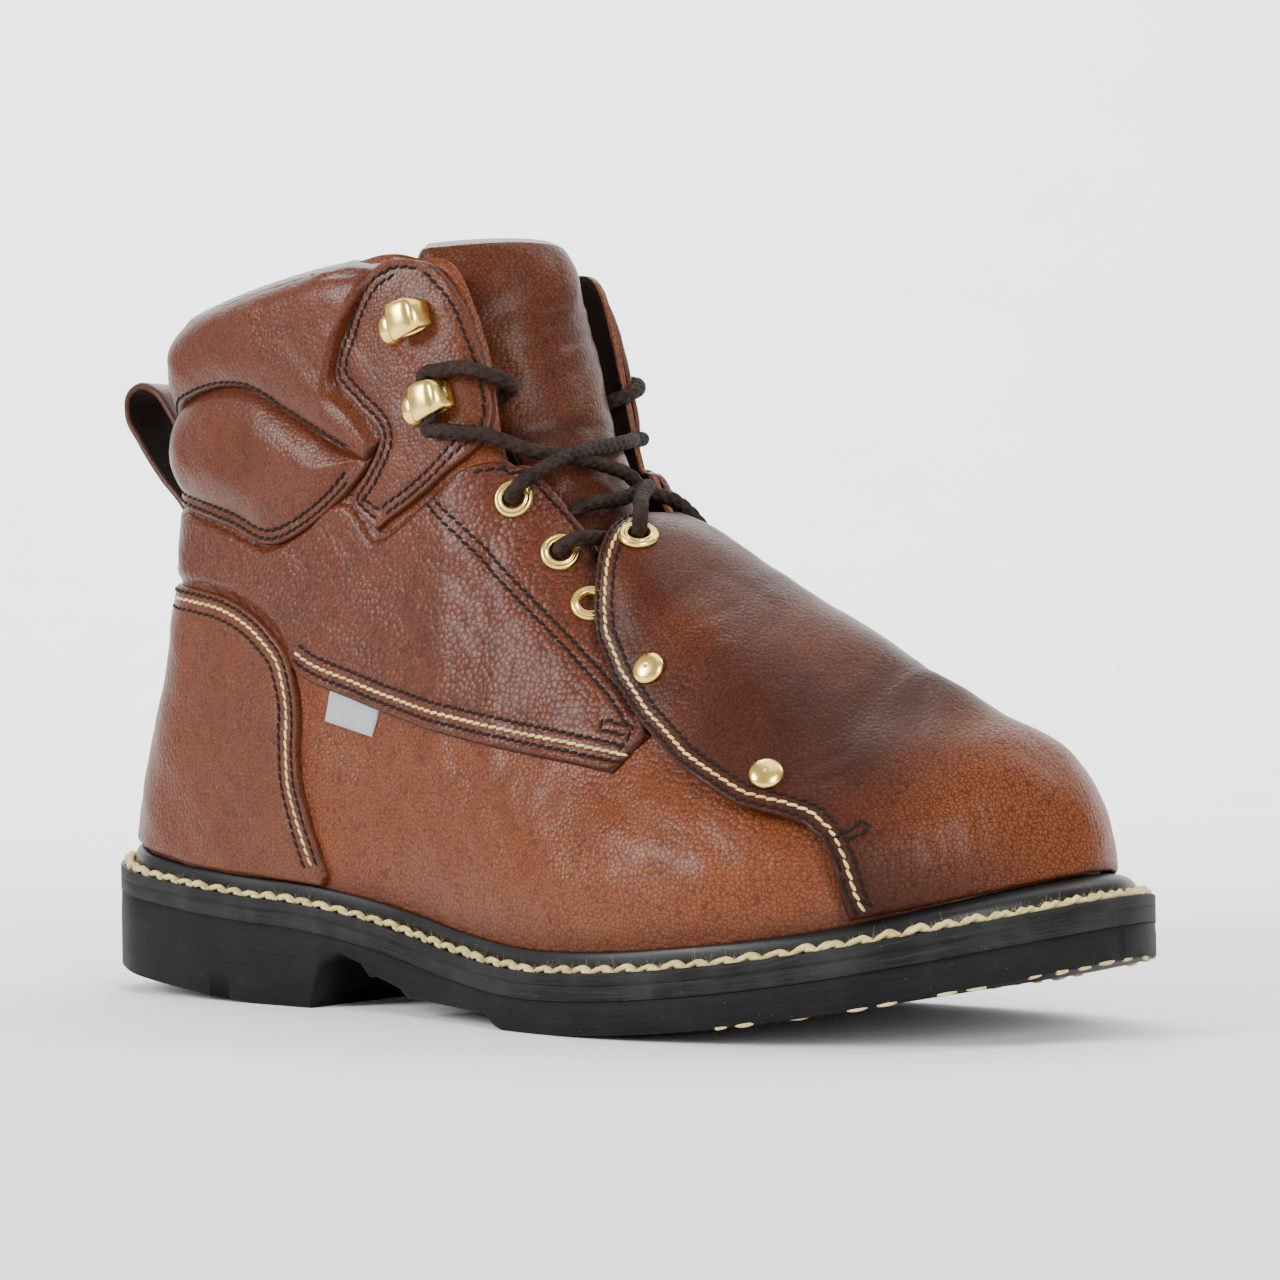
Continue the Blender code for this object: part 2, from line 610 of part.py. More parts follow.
def panel(name, look, low, high, counts, thick, puff=0.0, side=1):
    """Panel between two edges, lying on the wall; side -1 mirrors it to the medial side."""
    rows, columns = counts
    edge_a = along(low, rows)
    edge_b = along(high, rows)
    share = np.linspace(0, 1, columns)
    outer = []
    inner = []
    for i, (a, b) in enumerate(zip(edge_a, edge_b)):
        ends = math.sin(math.pi * i / (rows - 1)) if min(low[0][0], high[0][0]) > 0 else 1.0
        out_row = []
        in_row = []
        for s in share:
            g, z = a + (b - a) * s
            level = level_at(side * g, z, SECTIONS)
            swell = puff * math.sqrt(max(0.0, math.sin(math.pi * s))) * min(1.0, PUFF_FADE * ends)
            out_row.append(wall_point(side * g, level, SECTIONS, PANEL_LIFT + thick + swell)[0])
            in_row.append(wall_point(side * g, level, SECTIONS, PANEL_LIFT)[0])
        outer.append(out_row)
        inner.append(in_row)
    return sheet(outer, inner, name, look)


def both_ways(curve):
    """A half edge that starts at the back, continued round to the medial side."""
    return [(-q, z) for q, z in curve[:0:-1]] + list(curve)


def bead_line(q, side):
    """Height on the wall just above the welt's bead."""
    x = edge_point(q, side, 0.0)[0]
    return float(stack_top(x)) + BEAD_HEIGHT + PANEL_FOOT


def make_panels():
    foot = [(q, bead_line(q, -1)) for q in COUNTER_FOOT]
    panel("counter", LEATHER, both_ways(foot), both_ways(COUNTER_TOP), (27, 6), PANEL)
    panel("collar", LEATHER, both_ways(COLLAR_LOW), both_ways(COLLAR_HIGH), (35, 5), PANEL, COLLAR_PUFF)
    for side, word in ((1, "lateral"), (-1, "medial")):
        panel(f"quarter_{word}", LEATHER, QUARTER_LOW, QUARTER_HIGH, (25, 6), PANEL, side=side)
        panel(f"ankle_pad_{word}", LEATHER, PAD_LOW, PAD_HIGH, (12, 4), PANEL, PAD_PUFF, side=side)
        panel(f"hook_stay_{word}", LEATHER, STAY_BACK, STAY_FRONT, (13, 6), PANEL, side=side)
    panel("tag", GREY, TAG_LOW, TAG_HIGH, (4, 3), 0.6)


def make_guard():
    """Cover over toe and instep, open at its sides behind the toe."""
    edge = np.array(GUARD_EDGE)
    q = np.concatenate([GUARD_STATIONS, np.linspace(270, LENGTH, 7)])
    share = np.linspace(0, 1, 6)
    halves = []
    for side, flip in ((-1, False), (1, True)):
        rows = []
        for station in q:
            z = float(np.interp(station, edge[:, 0], edge[:, 1], right=0.0))
            z = max(z, bead_line(station, side))
            start = level_at(-side * station, z, GUARD_SECTIONS)
            rows.append(rib(station, side, start + (1 - start) * share, GUARD_SECTIONS)[0])
        halves.append((np.array(rows), flip))
    return shell(halves, "met_guard", LEATHER, GUARD_WALL)


def tongue_face(share, across, sink):
    """Point on the tongue's front face, or sunk behind it; across runs from -1 to 1."""
    rows = np.array(TONGUE, float)
    t = np.linspace(0, 1, len(rows))
    x, z, half, fall = smooth(t, rows, share)
    ahead = smooth(t, rows, min(1.0, share + 0.01)) - smooth(t, rows, max(0.0, share - 0.01))
    angle = across * TONGUE_WRAP
    tilt = math.atan2(ahead[1], ahead[0]) - math.pi / 2
    back = fall * (1 - math.cos(angle))
    y = half * math.sin(angle)
    slope = np.array([half * math.cos(angle), fall * math.sin(angle)])
    slope /= np.linalg.norm(slope)
    back += sink * slope[0]
    y -= sink * slope[1]
    return np.array([x - back * math.cos(tilt), centre_line(x) + y, z - back * math.sin(tilt)])


def make_tongue():
    t = np.linspace(0, 1, len(TONGUE_THICK))
    outer = []
    inner = []
    for share in np.linspace(0, 1, 14):
        thick = float(smooth(t, TONGUE_THICK, share))
        across = np.linspace(-1, 1, 9)
        outer.append([tongue_face(share, a, 0.0) for a in across])
        inner.append([tongue_face(share, a, thick * (1 - TONGUE_SIDE_LOSS * a * a)) for a in across])
    return sheet(outer, inner, "tongue", LEATHER)


def make_loop():
    path = along(LOOP, 22)
    ahead = np.gradient(path, axis=0)
    ahead /= np.linalg.norm(ahead, axis=1)[:, None]
    beside = np.stack([-ahead[:, 1], ahead[:, 0]], 1)
    half = LOOP_WIDTH / 2
    sections = []
    for middle, away in zip(path, beside):
        a = middle + away * LOOP_THICK / 2
        b = middle - away * LOOP_THICK / 2
        sections.append([(a[0], -half, a[1]), (a[0], half, a[1]), (b[0], half, b[1]), (b[0], -half, b[1])])
    return loft(sections, "pull_loop", LEATHER)


# Fittings
def seat(point, normal, up):
    """Frame on a surface: Z along the normal, Y as near to up as it can be."""
    z = Vector(normal).normalized()
    x = Vector(up).cross(z).normalized()
    y = z.cross(x)
    turn = Matrix((x, y, z)).transposed().to_4x4()
    middle = Vector(point) - Vector((*BOX_CENTRE, 0))
    return Matrix.Translation(middle * MM) @ turn


def place(name, mesh, look, frame):
    made = add_object(name, mesh, look)
    made.matrix_world = frame
    return made


def eyelet_mesh():
    bpy.ops.mesh.primitive_torus_add(major_segments=9, minor_segments=4, major_radius=EYELET_RADIUS * MM,
                                     minor_radius=EYELET_BEAD * MM)
    ring = bpy.context.object
    mesh = ring.data.copy()
    bpy.data.objects.remove(ring, do_unlink=True)
    return mesh


def rivet_mesh():
    bm = bmesh.new()
    bmesh.ops.create_cone(bm, cap_ends=True, segments=14, radius1=RIVET_RADIUS * MM,
                          radius2=RIVET_TOP * MM, depth=RIVET_HEIGHT * MM)
    mesh = bpy.data.meshes.new("rivet")
    bm.to_mesh(mesh)
    bm.free()
    return mesh


def hook_mesh():
    """Bent strip that a lace hooks under, open towards the back of the boot."""
    path = np.array(HOOK_PATH)
    ahead = np.gradient(path, axis=0)
    ahead /= np.linalg.norm(ahead, axis=1)[:, None]
    beside = np.stack([-ahead[:, 1], ahead[:, 0]], 1)
    half = HOOK_WIDTH / 2
    bm = bmesh.new()
    rings = []
    for (u, w), away in zip(path, beside):
        a = (u + away[0] * HOOK_THICK / 2, w + away[1] * HOOK_THICK / 2)
        b = (u - away[0] * HOOK_THICK / 2, w - away[1] * HOOK_THICK / 2)
        ring = [(a[0], -half, a[1]), (a[0], half, a[1]), (b[0], half, b[1]), (b[0], -half, b[1])]
        rings.append([bm.verts.new(Vector(p) * MM) for p in ring])
    for a, b in zip(rings[:-1], rings[1:]):
        for j in range(4):
            k = (j + 1) % 4
            bm.faces.new((a[j], b[j], b[k], a[k]))
    bm.faces.new(rings[0])
    bm.faces.new(rings[-1])
    bmesh.ops.recalc_face_normals(bm, faces=bm.faces)
    mesh = bpy.data.meshes.new("hook")
    bm.to_mesh(mesh)
    bm.free()
    return mesh


def guard_spot(x, y, side):
    """Level on the guard's rib at which it reaches a distance from the centre line."""
    levels = np.linspace(0.3, 1, 141)
    points = rib(x, side, levels, GUARD_SECTIONS)[0]
    return float(np.interp(-y, -np.abs(points[:, 1] - points[-1, 1]), levels))


def make_fittings():
    top_of_panel = PANEL_LIFT + PANEL
    throat = (-0.5, 0.0, 0.85)
    for side, word in ((1, "lateral"), (-1, "medial")):
        for index, (q, z) in enumerate(EYELETS, 1):
            level = level_at(side * q, z, SECTIONS)
            lift = top_of_panel + EYELET_BEAD + GAP
            frame = seat(*wall_point(side * q, level, SECTIONS, lift), throat)
            place(f"eyelet_{word}_{index}", eyelet_mesh(), BRASS, frame)
        for index, (q, z) in enumerate(HOOKS, 1):
            level = level_at(side * q, z, SECTIONS)
            lift = top_of_panel + HOOK_THICK / 2 + GAP
            frame = seat(*wall_point(side * q, level, SECTIONS, lift), (0.0, 0.0, side))
            place(f"hook_{word}_{index}", hook_mesh(), BRASS, frame)
        for index, (q, z) in enumerate(RIVETS, 1):
            level = level_at(side * q, z, GUARD_SECTIONS)
            frame = seat(*wall_point(side * q, level, GUARD_SECTIONS, RIVET_HEIGHT / 2 + GAP), (0, 0, 1))
            place(f"rivet_{word}_{index}", rivet_mesh(), BRASS, frame)
        x, y = GUARD_EYELET
        level = guard_spot(x, y, -side)
        frame = seat(*wall_point(side * x, level, GUARD_SECTIONS, EYELET_BEAD + GAP), (0, 0, 1))
        place(f"guard_eyelet_{word}", eyelet_mesh(), BRASS, frame)


# Lace
def strand(points, name):
    """Round lace along a smooth curve through the points."""
    count = max(4, round(chord(points)[-1] / LACE_STEP) + 1)
    path = along(points, count) - np.array([*BOX_CENTRE, 0.0])
    curve = bpy.data.curves.new(name, "CURVE")
    curve.dimensions = "3D"
    curve.bevel_depth = LACE_RADIUS * MM
    curve.bevel_resolution = LACE_SIDES
    curve.use_fill_caps = True
    line = curve.splines.new("POLY")
    line.points.add(count - 1)
    for spot, place_at in zip(line.points, path * MM):
        spot.co = (*place_at, 1)
    made = bpy.data.objects.new(name, curve)
    curve.materials.append(material(*LACE))
    bpy.data.collections["work_boot"].objects.link(made)
    return made


def as_mesh(made):
    """Swap a lace curve for a closed mesh that a Boolean can use."""
    mesh = bpy.data.meshes.new_from_object(made.evaluated_get(bpy.context.evaluated_depsgraph_get()))
    name = made.name
    home = made.matrix_world.copy()
    bpy.data.objects.remove(made, do_unlink=True)
    bm = bmesh.new()
    bm.from_mesh(mesh)
    bmesh.ops.remove_doubles(bm, verts=bm.verts, dist=0.001 * MM)
    bmesh.ops.recalc_face_normals(bm, faces=bm.faces)
    bm.to_mesh(mesh)
    bm.free()
    solid = bpy.data.objects.new(name, mesh)
    solid.matrix_world = home
    bpy.data.collections["work_boot"].objects.link(solid)
    return solid


def make_lace():
    strands = [strand(points, f"strand_{i}") for i, points in enumerate(LACE_CROSSINGS)]
    bpy.context.view_layer.update()
    solids = [as_mesh(made) for made in strands]
    solids[0].name = "lace_crossings"
    for other in solids[1:]:
        join = solids[0].modifiers.new("join", "BOOLEAN")
        join.operation = "UNION"
        join.solver = "EXACT"
        join.object = other
        bpy.data.collections["work_boot"].objects.unlink(other)
        bpy.data.collections["cutters"].objects.link(other)
        other.hide_render = True
        other.display_type = "WIRE"
    strand(LACE_BAR, "lace_bar")
    strand(LACE_END_LATERAL, "lace_end_lateral")
    strand(LACE_END_MEDIAL, "lace_end_medial")


def main():
    clear_scene()
    for name in ("work_boot", "cutters"):
        group = bpy.data.collections.get(name) or bpy.data.collections.new(name)
        if name not in bpy.context.scene.collection.children:
            bpy.context.scene.collection.children.link(group)
    make_sole()
    make_welt()
    make_upper()
    make_panels()
    make_guard()
    make_tongue()
    make_loop()
    make_fittings()
    make_lace()


main()
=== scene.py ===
"""Looks of the work boot: leather panels, stitching, welted rubber sole, brass fittings and laces.

Lengths are in millimetres in the boot's own axes, as in the part's source: +X points to the toe from
the back of the heel, -Y is the lateral side. They become metres of the frame when a mesh is made.
"""
import math

import bpy
import numpy as np
from mathutils import Matrix, Vector
from mathutils.bvhtree import BVHTree
from mathutils.kdtree import KDTree


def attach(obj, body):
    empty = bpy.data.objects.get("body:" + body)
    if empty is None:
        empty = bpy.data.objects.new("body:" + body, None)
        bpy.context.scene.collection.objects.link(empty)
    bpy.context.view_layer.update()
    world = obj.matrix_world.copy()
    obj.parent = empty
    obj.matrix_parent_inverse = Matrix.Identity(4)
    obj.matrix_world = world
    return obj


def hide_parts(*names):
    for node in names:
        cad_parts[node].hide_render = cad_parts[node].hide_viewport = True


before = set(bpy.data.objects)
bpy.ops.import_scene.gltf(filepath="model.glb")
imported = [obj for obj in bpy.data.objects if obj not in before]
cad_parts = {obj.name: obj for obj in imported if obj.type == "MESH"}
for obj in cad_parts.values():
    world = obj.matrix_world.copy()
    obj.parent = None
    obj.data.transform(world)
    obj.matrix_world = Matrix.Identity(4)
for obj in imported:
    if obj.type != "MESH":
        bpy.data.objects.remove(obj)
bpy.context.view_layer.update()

# Driving sizes, as in the part's source
MM = 0.001
CENTRE = np.array((153.975, -4.098, 0.0))
LENGTH = 308.0
HEEL_AXIS = (43.0, 0.0)
TOE_AXIS = (255.0, 5.0)
HEEL_STACK = 27.6
FORE_STACK = 14.6
STACK_DROP = (70.0, 185.0)
HEEL_RISE = 8.0
HEEL_FLAT = 75.0
HEEL_RISE_POWER = 1.25
SPRING = 17.8
SPRING_FROM = 178.0
SPRING_POWER = 1.9
STITCH_LEDGE = 4.2
WELT_THICK = 3.0
MIDSOLE_THICK = 3.0
LAYER_GAP = 0.3
WELT_CLEAR = 0.8
BEAD_HEIGHT = 4.6
PANEL = 1.9
PANEL_LIFT = 1.0
PANEL_FOOT = 0.6
GUARD_WALL = 2.0
WALL = 2.0

OUTLINE = [
    # x, lateral, medial
    (5, 19.5, 19.5),
    (19, 31.5, 31.5),
    (45, 37.0, 36.5),
    (85, 39.0, 35.0),
    (125, 42.2, 33.5),
    (150, 48.9, 37.0),
    (175, 55.5, 42.5),
    (200, 59.0, 47.5),
    (225, 57.9, 50.5),
    (250, 52.7, 50.5),
    (270, 44.7, 47.5),
    (288, 32.5, 41.5),
    (300, 16.4, 33.0),
]
TOE_TIP = (308, 14)
ARCH = [
    # x, lift of the underside
    (94.5, 0.0),
    (96.0, 6.0),
    (99.0, 11.5),
    (105.0, 14.4),
    (113.0, 12.3),
    (116.5, 9.0),
    (118.0, 9.6),
    (128.0, 7.0),
    (132.0, 4.6),
    (137.0, 4.7),
    (165.0, 3.5),
    (169.0, 0.8),
    (172.0, 0.0),
]
GROOVES = [
    # x, width, lateral, medial, depth
    (61.0, 8.0, 60.0, 60.0, 5.0),
    (32.0, 6.0, 22.0, 22.0, 4.0),
    (192.0, 6.0, 46.0, 34.0, 4.0),
    (211.0, 6.0, 46.0, 38.0, 4.0),
    (230.0, 6.0, 44.0, 39.0, 4.0),
    (249.0, 6.0, 38.0, 38.0, 4.0),
    (268.0, 6.0, 28.0, 34.0, 4.0),
]
SECTIONS = [
    # station, inset, low bulge, height, mid reach, height, high reach, height, edge reach, edge height
    (0, 7.0, -4.5, 0.12, 21.5, 0.42, 15.5, 0.70, 12.5, 172.0),
    (20, 7.0, -3.0, 0.12, 23.0, 0.42, 17.5, 0.70, 17.0, 176.0),
    (43, 7.0, 0.5, 0.12, 28.5, 0.42, 25.5, 0.70, 27.0, 181.0),
    (70, 7.0, 1.5, 0.14, 32.0, 0.42, 31.0, 0.70, 32.0, 186.0),
    (100, 7.0, 2.0, 0.14, 34.0, 0.42, 33.0, 0.70, 33.0, 190.0),
    (125, 7.0, 2.0, 0.15, 36.0, 0.42, 33.5, 0.70, 31.5, 191.0),
    (140, 7.0, 2.0, 0.16, 38.5, 0.44, 33.5, 0.72, 28.5, 182.0),
    (147, 7.0, 2.0, 0.17, 39.5, 0.46, 33.8, 0.735, 27.0, 160.0),
    (150.5, 7.0, 2.0, 0.19, 40.0, 0.515, 34.0, 0.79, 28.0, 141.5),
    (157, 7.0, 2.0, 0.20, 41.2, 0.51, 34.0, 0.78, 25.0, 136.5),
    (164, 7.0, 2.0, 0.22, 42.5, 0.50, 34.0, 0.78, 22.0, 128.0),
    (178, 7.0, 2.0, 0.26, 45.0, 0.54, 34.5, 0.80, 19.0, 110.0),
    (192, 7.0, 2.0, 0.30, 46.5, 0.58, 35.0, 0.84, 16.5, 96.0),
    (206, 7.0, 2.0, 0.33, 46.0, 0.62, 30.0, 0.88, 0.0, 93.0),
    (228, 7.0, 2.0, 0.36, 42.5, 0.67, 25.5, 0.90, 0.0, 87.0),
    (255, 8.6, 0.5, 0.40, 35.5, 0.74, 20.5, 0.92, 0.0, 73.0),
    (273, 10.4, -3.0, 0.40, 29.5, 0.74, 16.5, 0.91, 0.0, 73.0),
    (290, 10.6, -5.0, 0.42, 29.5, 0.74, 16.5, 0.91, 0.0, 73.0),
    (308, 10.6, -5.0, 0.42, 29.5, 0.74, 16.5, 0.91, 0.0, 73.0),
]
GUARD_SECTIONS = [
    # the same columns
    (174, 6.0, 5.0, 0.30, 40.0, 0.62, 27.0, 0.945, 0.0, 127.0),
    (190, 6.0, 5.0, 0.30, 44.0, 0.60, 27.0, 0.93, 0.0, 121.5),
    (206, 6.0, 5.0, 0.31, 46.5, 0.60, 28.5, 0.895, 0.0, 112.0),
    (228, 6.0, 4.5, 0.36, 45.0, 0.67, 28.0, 0.90, 0.0, 99.0),
    (255, 6.0, 3.5, 0.355, 39.0, 0.655, 23.5, 0.85, 0.0, 84.5),
    (273, 7.4, 0.5, 0.365, 33.2, 0.65, 19.5, 0.825, 0.0, 84.5),
    (290, 7.6, -1.6, 0.37, 33.2, 0.645, 19.5, 0.815, 0.0, 84.5),
    (308, 7.6, -1.6, 0.37, 33.2, 0.645, 19.5, 0.815, 0.0, 84.5),
]
GUARD_BACK = 179.6
GUARD_CORNER = 4.0
GUARD_EDGE = [
    # station, height of the free edge
    (179.6, 119.0),
    (181.2, 107.0),
    (186.2, 93.6),
    (193.6, 83.8),
    (204.8, 73.8),
    (219.2, 64.6),
    (238.6, 55.0),
    (247.5, 52.9),
    (254.0, 50.8),
    (258.0, 47.0),
    (260.3, 40.2),
    (261.2, 33.5),
    (261.7, 26.0),
]
COUNTER_TOP = [(0, 112), (20, 110.8), (45, 108.3), (60, 105.3), (74.5, 98), (82, 91), (85.5, 82),
               (88, 57), (93, 44), (97.5, 33.6)]
COUNTER_FOOT = [0, 20, 43, 70, 96]
QUARTER_LOW = [(16, 108.6), (45, 105.9), (60, 102.9), (75.5, 95.4), (84, 87.4), (107, 78.8), (132, 72.2),
               (156, 67.6), (179.5, 63.8), (198.5, 60.8)]
QUARTER_HIGH = [(16, 132.5), (25, 132.5), (45, 128), (61, 123.5), (77.5, 118.4), (92, 123), (104, 129.5),
                (115, 119.5), (134, 128.5), (145, 137), (153, 137.5), (164, 127), (178, 108.5), (186.5, 97),
                (192, 86), (198, 78), (203.5, 73), (206, 69.5)]
PAD_LOW = [(16, 134), (25, 134), (45, 129.6), (61, 125.2), (77.5, 120), (92, 124.6), (104, 132),
           (111.5, 138.5)]
PAD_HIGH = [(16, 149), (25, 152.5), (45, 159), (60.5, 160.7), (70, 159.5), (85.5, 151.8), (103, 142.6),
            (112.5, 139.5)]
COLLAR_LOW = [(0, 148), (16, 150.8), (25, 154.2), (45, 160.7), (60.5, 162.4), (70, 161.2), (85.5, 153.5),
              (103.5, 144.2), (112, 140.2)]
COLLAR_HIGH = [(0, 172), (20, 176), (43, 181), (70, 186), (98, 189.8), (114, 187.5), (105.4, 173.5),
               (102.3, 161.5), (109.5, 154.8), (117, 145.6)]
STAY_BACK = [(121, 190.5), (114.5, 187.5), (105, 173.5), (101.8, 161.5), (109, 154), (117, 145.5),
             (112.5, 136.5), (107.5, 130.2), (116, 122.3)]
STAY_FRONT = [(123, 190.6), (131.5, 188.5), (139, 180), (143, 170), (147, 157), (148.3, 150), (147.5, 144.2),
              (135, 133), (117.5, 123)]
TAG_LOW = [(96.6, 73.4), (113.8, 69.4)]
TAG_HIGH = [(98.5, 82.0), (116.8, 77.5)]
COLLAR_PUFF = 3.0
PAD_PUFF = 3.2
TONGUE = [
    # x, z, half-width, fall, thickness
    (203, 82, 12.0, 5.0, 3.0),
    (190, 95, 14.0, 7.0, 3.0),
    (177, 111, 16.0, 9.0, 3.5),
    (165, 130, 18.5, 13.0, 5.0),
    (156, 152, 22.0, 18.0, 7.0),
    (150, 172, 25.0, 24.0, 8.0),
    (148, 184, 27.0, 34.0, 8.0),
    (145.5, 192, 26.0, 36.0, 7.0),
    (141, 197, 20.0, 28.0, 4.0),
]
TONGUE_WRAP = math.radians(78)
TONGUE_SIDE_LOSS = 0.6
LOOP = [(23.1, 113.6), (23.8, 120.5), (24.0, 126.5), (20.3, 132.4), (11.6, 141.0), (3.0, 151.5),
        (-1.6, 158.6), (-1.2, 164.0), (3.4, 166.6), (9.6, 164.6), (15.2, 158.5), (19.8, 152), (25.6, 144.6)]
LOOP_WIDTH = 20.0
LOOP_THICK = 2.0
EYELETS = [(155.5, 127.5), (167.3, 113.4), (177.2, 100.2)]
GUARD_EYELET = (188.0, 22.5)
HOOKS = [(124.5, 173.8), (132.0, 152.8)]
RIVETS = [(204.0, 85.8), (242.0, 61.2)]
LACE_RADIUS = 1.9
LACE_A = [(157.6, -30.0, 128.6), (158.7, -32.3, 129.1), (161.0, -32.0, 131.5), (164.0, -28.0, 135.0),
          (165.5, -20.0, 138.5), (165.0, -10.0, 140.8), (164.0, -2.0, 142.0), (162.2, 7.5, 143.4),
          (158.4, 15.6, 144.4), (153.6, 22.4, 145.2), (150.6, 27.0, 145.8), (149.2, 31.6, 146.1),
          (146.6, 35.6, 146.2), (143.0, 37.5, 146.2), (138.0, 37.9, 146.2), (134.0, 38.0, 146.0)]
LACE_B = [(134.8, -36.3, 146.5), (139.5, -35.9, 146.1), (145.0, -34.7, 145.3), (149.9, -32.1, 144.6),
          (154.5, -28.8, 142.6), (159.0, -25.0, 140.4), (163.5, -16.0, 139.0), (165.3, -5.0, 137.4),
          (168.0, 2.0, 135.0), (171.0, 5.0, 131.3), (173.5, 8.0, 129.6), (176.4, 10.7, 128.2),
          (179.2, 13.0, 125.2), (181.6, 15.4, 121.2), (184.2, 18.4, 117.4)]
LACE_C = [(161.0, -22.0, 116.5), (165.0, -20.5, 122.0), (168.5, -16.5, 126.4), (169.8, -9.5, 127.8),
          (171.0, -2.0, 129.0), (172.3, 2.8, 131.0), (177.0, -1.0, 131.4), (182.0, -9.0, 129.6),
          (186.0, -15.5, 127.2), (189.8, -20.3, 124.9)]
LACE_BAR = [(170.0, -27.1, 115.2), (171.2, -29.3, 115.9), (174.3, -27.8, 117.6), (176.3, -21.0, 118.2),
            (176.6, -9.0, 116.8), (176.6, 3.2, 116.8), (176.4, 15.0, 117.2), (176.4, 22.0, 118.4),
            (175.5, 28.5, 119.2), (173.7, 33.4, 118.2), (171.2, 34.8, 116.5), (169.8, 32.5, 115.2)]
LACE_END_LATERAL = [(133.4, -35.5, 160.3), (137.8, -35.0, 161.0), (142.9, -33.5, 161.5),
                    (148.0, -30.8, 160.4), (150.6, -27.9, 159.0), (151.2, -24.0, 157.8),
                    (149.2, -20.6, 156.6), (145.8, -19.6, 155.4), (142.9, -21.7, 154.4)]
LACE_END_MEDIAL = [(133.4, 37.8, 160.2), (137.5, 37.5, 160.7), (142.1, 36.8, 161.3),
                   (145.8, 35.2, 160.6), (148.0, 32.6, 159.2), (148.9, 28.8, 158.0),
                   (147.6, 25.2, 156.6), (144.8, 24.2, 155.4), (142.0, 25.6, 154.4)]
LEVELS = (0.0, 0.25, 0.5, 0.75, 1.0)

# Looks: sizes that the photograph shows and the solids leave out
VAMP_LIFT = 0.8
EDGE_ROLL = 1.2
STEP = 1.3
ROLL_COLUMNS = (0.0, 0.12, 0.35, 0.7, 1.2)
STITCH_PITCH = 2.6
THREAD = (1.42, 0.41, 0.36)
WELT_PITCH = 6.5
TOE_THREADS_FROM = 236.0
INSOLE_THICK = 4.0
INSOLE_INSET = 15.4
INSOLE_HOLLOW = 0.9
GUARD_DROOP = 10.0
DROOP_ACROSS = (3, 26)
DROOP_ALONG = (192, 238)
GUARD_GIRTH = 62.0
STITCH_SLANT = 0.22
STITCH_LIFT = 0.12
STITCH_RAY = 14.0
FITTING_RAY = 16.0
RAY_START = 9.0
TONGUE_SEAM = 0.475
TONGUE_FOLDS = ((0.62, 0.5), (0.66, 0.35), (0.71, 0.4), (0.575, 0.4))
TONGUE_LONG = 130.0
TONGUE_HALF = 36.0
TONGUE_CLOTH_FROM = 0.952
LOOP_EDGE = 0.7
LIP_FLAT = 0.4
SIDE_ROWS = (0.0, 0.33, 0.66, 1.0)
STRAND_SIDES = 7
FIBRES = 4000
FIBRE_RADIUS = 0.024
BRAID_STRANDS = 4
BRAID_PITCH = 3.0
EYELET_RISE = 0.3
HOOK_RISE = 0.1
RIVET_RISE = 0.7
GUARD_RING_RISE = 0.2
LACE_UNDER_HOOK = 2.7
THROAT = (-0.5, 0.0, 0.85)
UP = (0.0, 0.0, 1.0)
SIDES = ((1, "lateral"), (-1, "medial"))


# Curves through a few points
def smooth(t, points, at, flat_end=None):
    """Read a smooth curve that passes through the points at the values t."""
    t = np.asarray(t, float)
    points = np.asarray(points, float)
    flat = points.ndim == 1
    rows = points[:, None] if flat else points
    step = np.diff(t)[:, None]
    rise = np.diff(rows, axis=0) / step
    slope = np.zeros_like(rows)
    slope[1:-1] = (rise[:-1] * step[1:] + rise[1:] * step[:-1]) / (step[1:] + step[:-1])
    slope[0] = rise[0]
    slope[-1] = rise[-1] if flat_end is None else np.where(flat_end, 0, rise[-1])
    at = np.clip(np.asarray(at, float), t[0], t[-1])
    k = np.clip(np.searchsorted(t, at, side="right") - 1, 0, len(t) - 2)
    width = (t[k + 1] - t[k])[..., None]
    s = (at - t[k])[..., None] / width
    start = rows[k] * (1 + 2 * s) * (1 - s) ** 2 + slope[k] * width * s * (1 - s) ** 2
    end = rows[k + 1] * s * s * (3 - 2 * s) + slope[k + 1] * width * s * s * (s - 1)
    out = start + end
    return out[..., 0] if flat else out


def chord(points):
    """Running length along the points."""
    points = np.asarray(points, float)
    return np.concatenate([[0.0], np.cumsum(np.linalg.norm(np.diff(points, axis=0), axis=1))])


def along(points, shares):
    """Points at shares of the length of a smooth curve."""
    t = chord(points)
    return smooth(t, points, np.asarray(shares, float) * t[-1])


def sample(at, t, values):
    """Rows of values read at places along t."""
    return np.stack([np.interp(at, t, column) for column in np.asarray(values, float).T], -1)


def unit(vectors):
    """The same directions at length 1."""
    return vectors / np.linalg.norm(vectors, axis=-1, keepdims=True)


def stations_round(heel, step, toe):
    """Stations from the back to the toe: counts round heel and toe, and a step between them."""
    back, front = HEEL_AXIS[0], TOE_AXIS[0]
    return np.concatenate([np.linspace(0, back, heel)[:-1], np.arange(back, front, step),
                           np.linspace(front, LENGTH, toe)])


def ease(start, end, x):
    """0 before start, 1 after end, and an S-curve between."""
    s = np.clip((np.asarray(x, float) - start) / (end - start), 0, 1)
    return s * s * (3 - 2 * s)


def bell(x, middle, width):
    """1 at the middle, falling off smoothly on both sides."""
    return np.exp(-(((x - middle) / width) ** 2))


def both_ways(curve):
    """A half edge that starts at the back, continued round to the medial side."""
    return [(-q, z) for q, z in curve[:0:-1]] + list(curve)


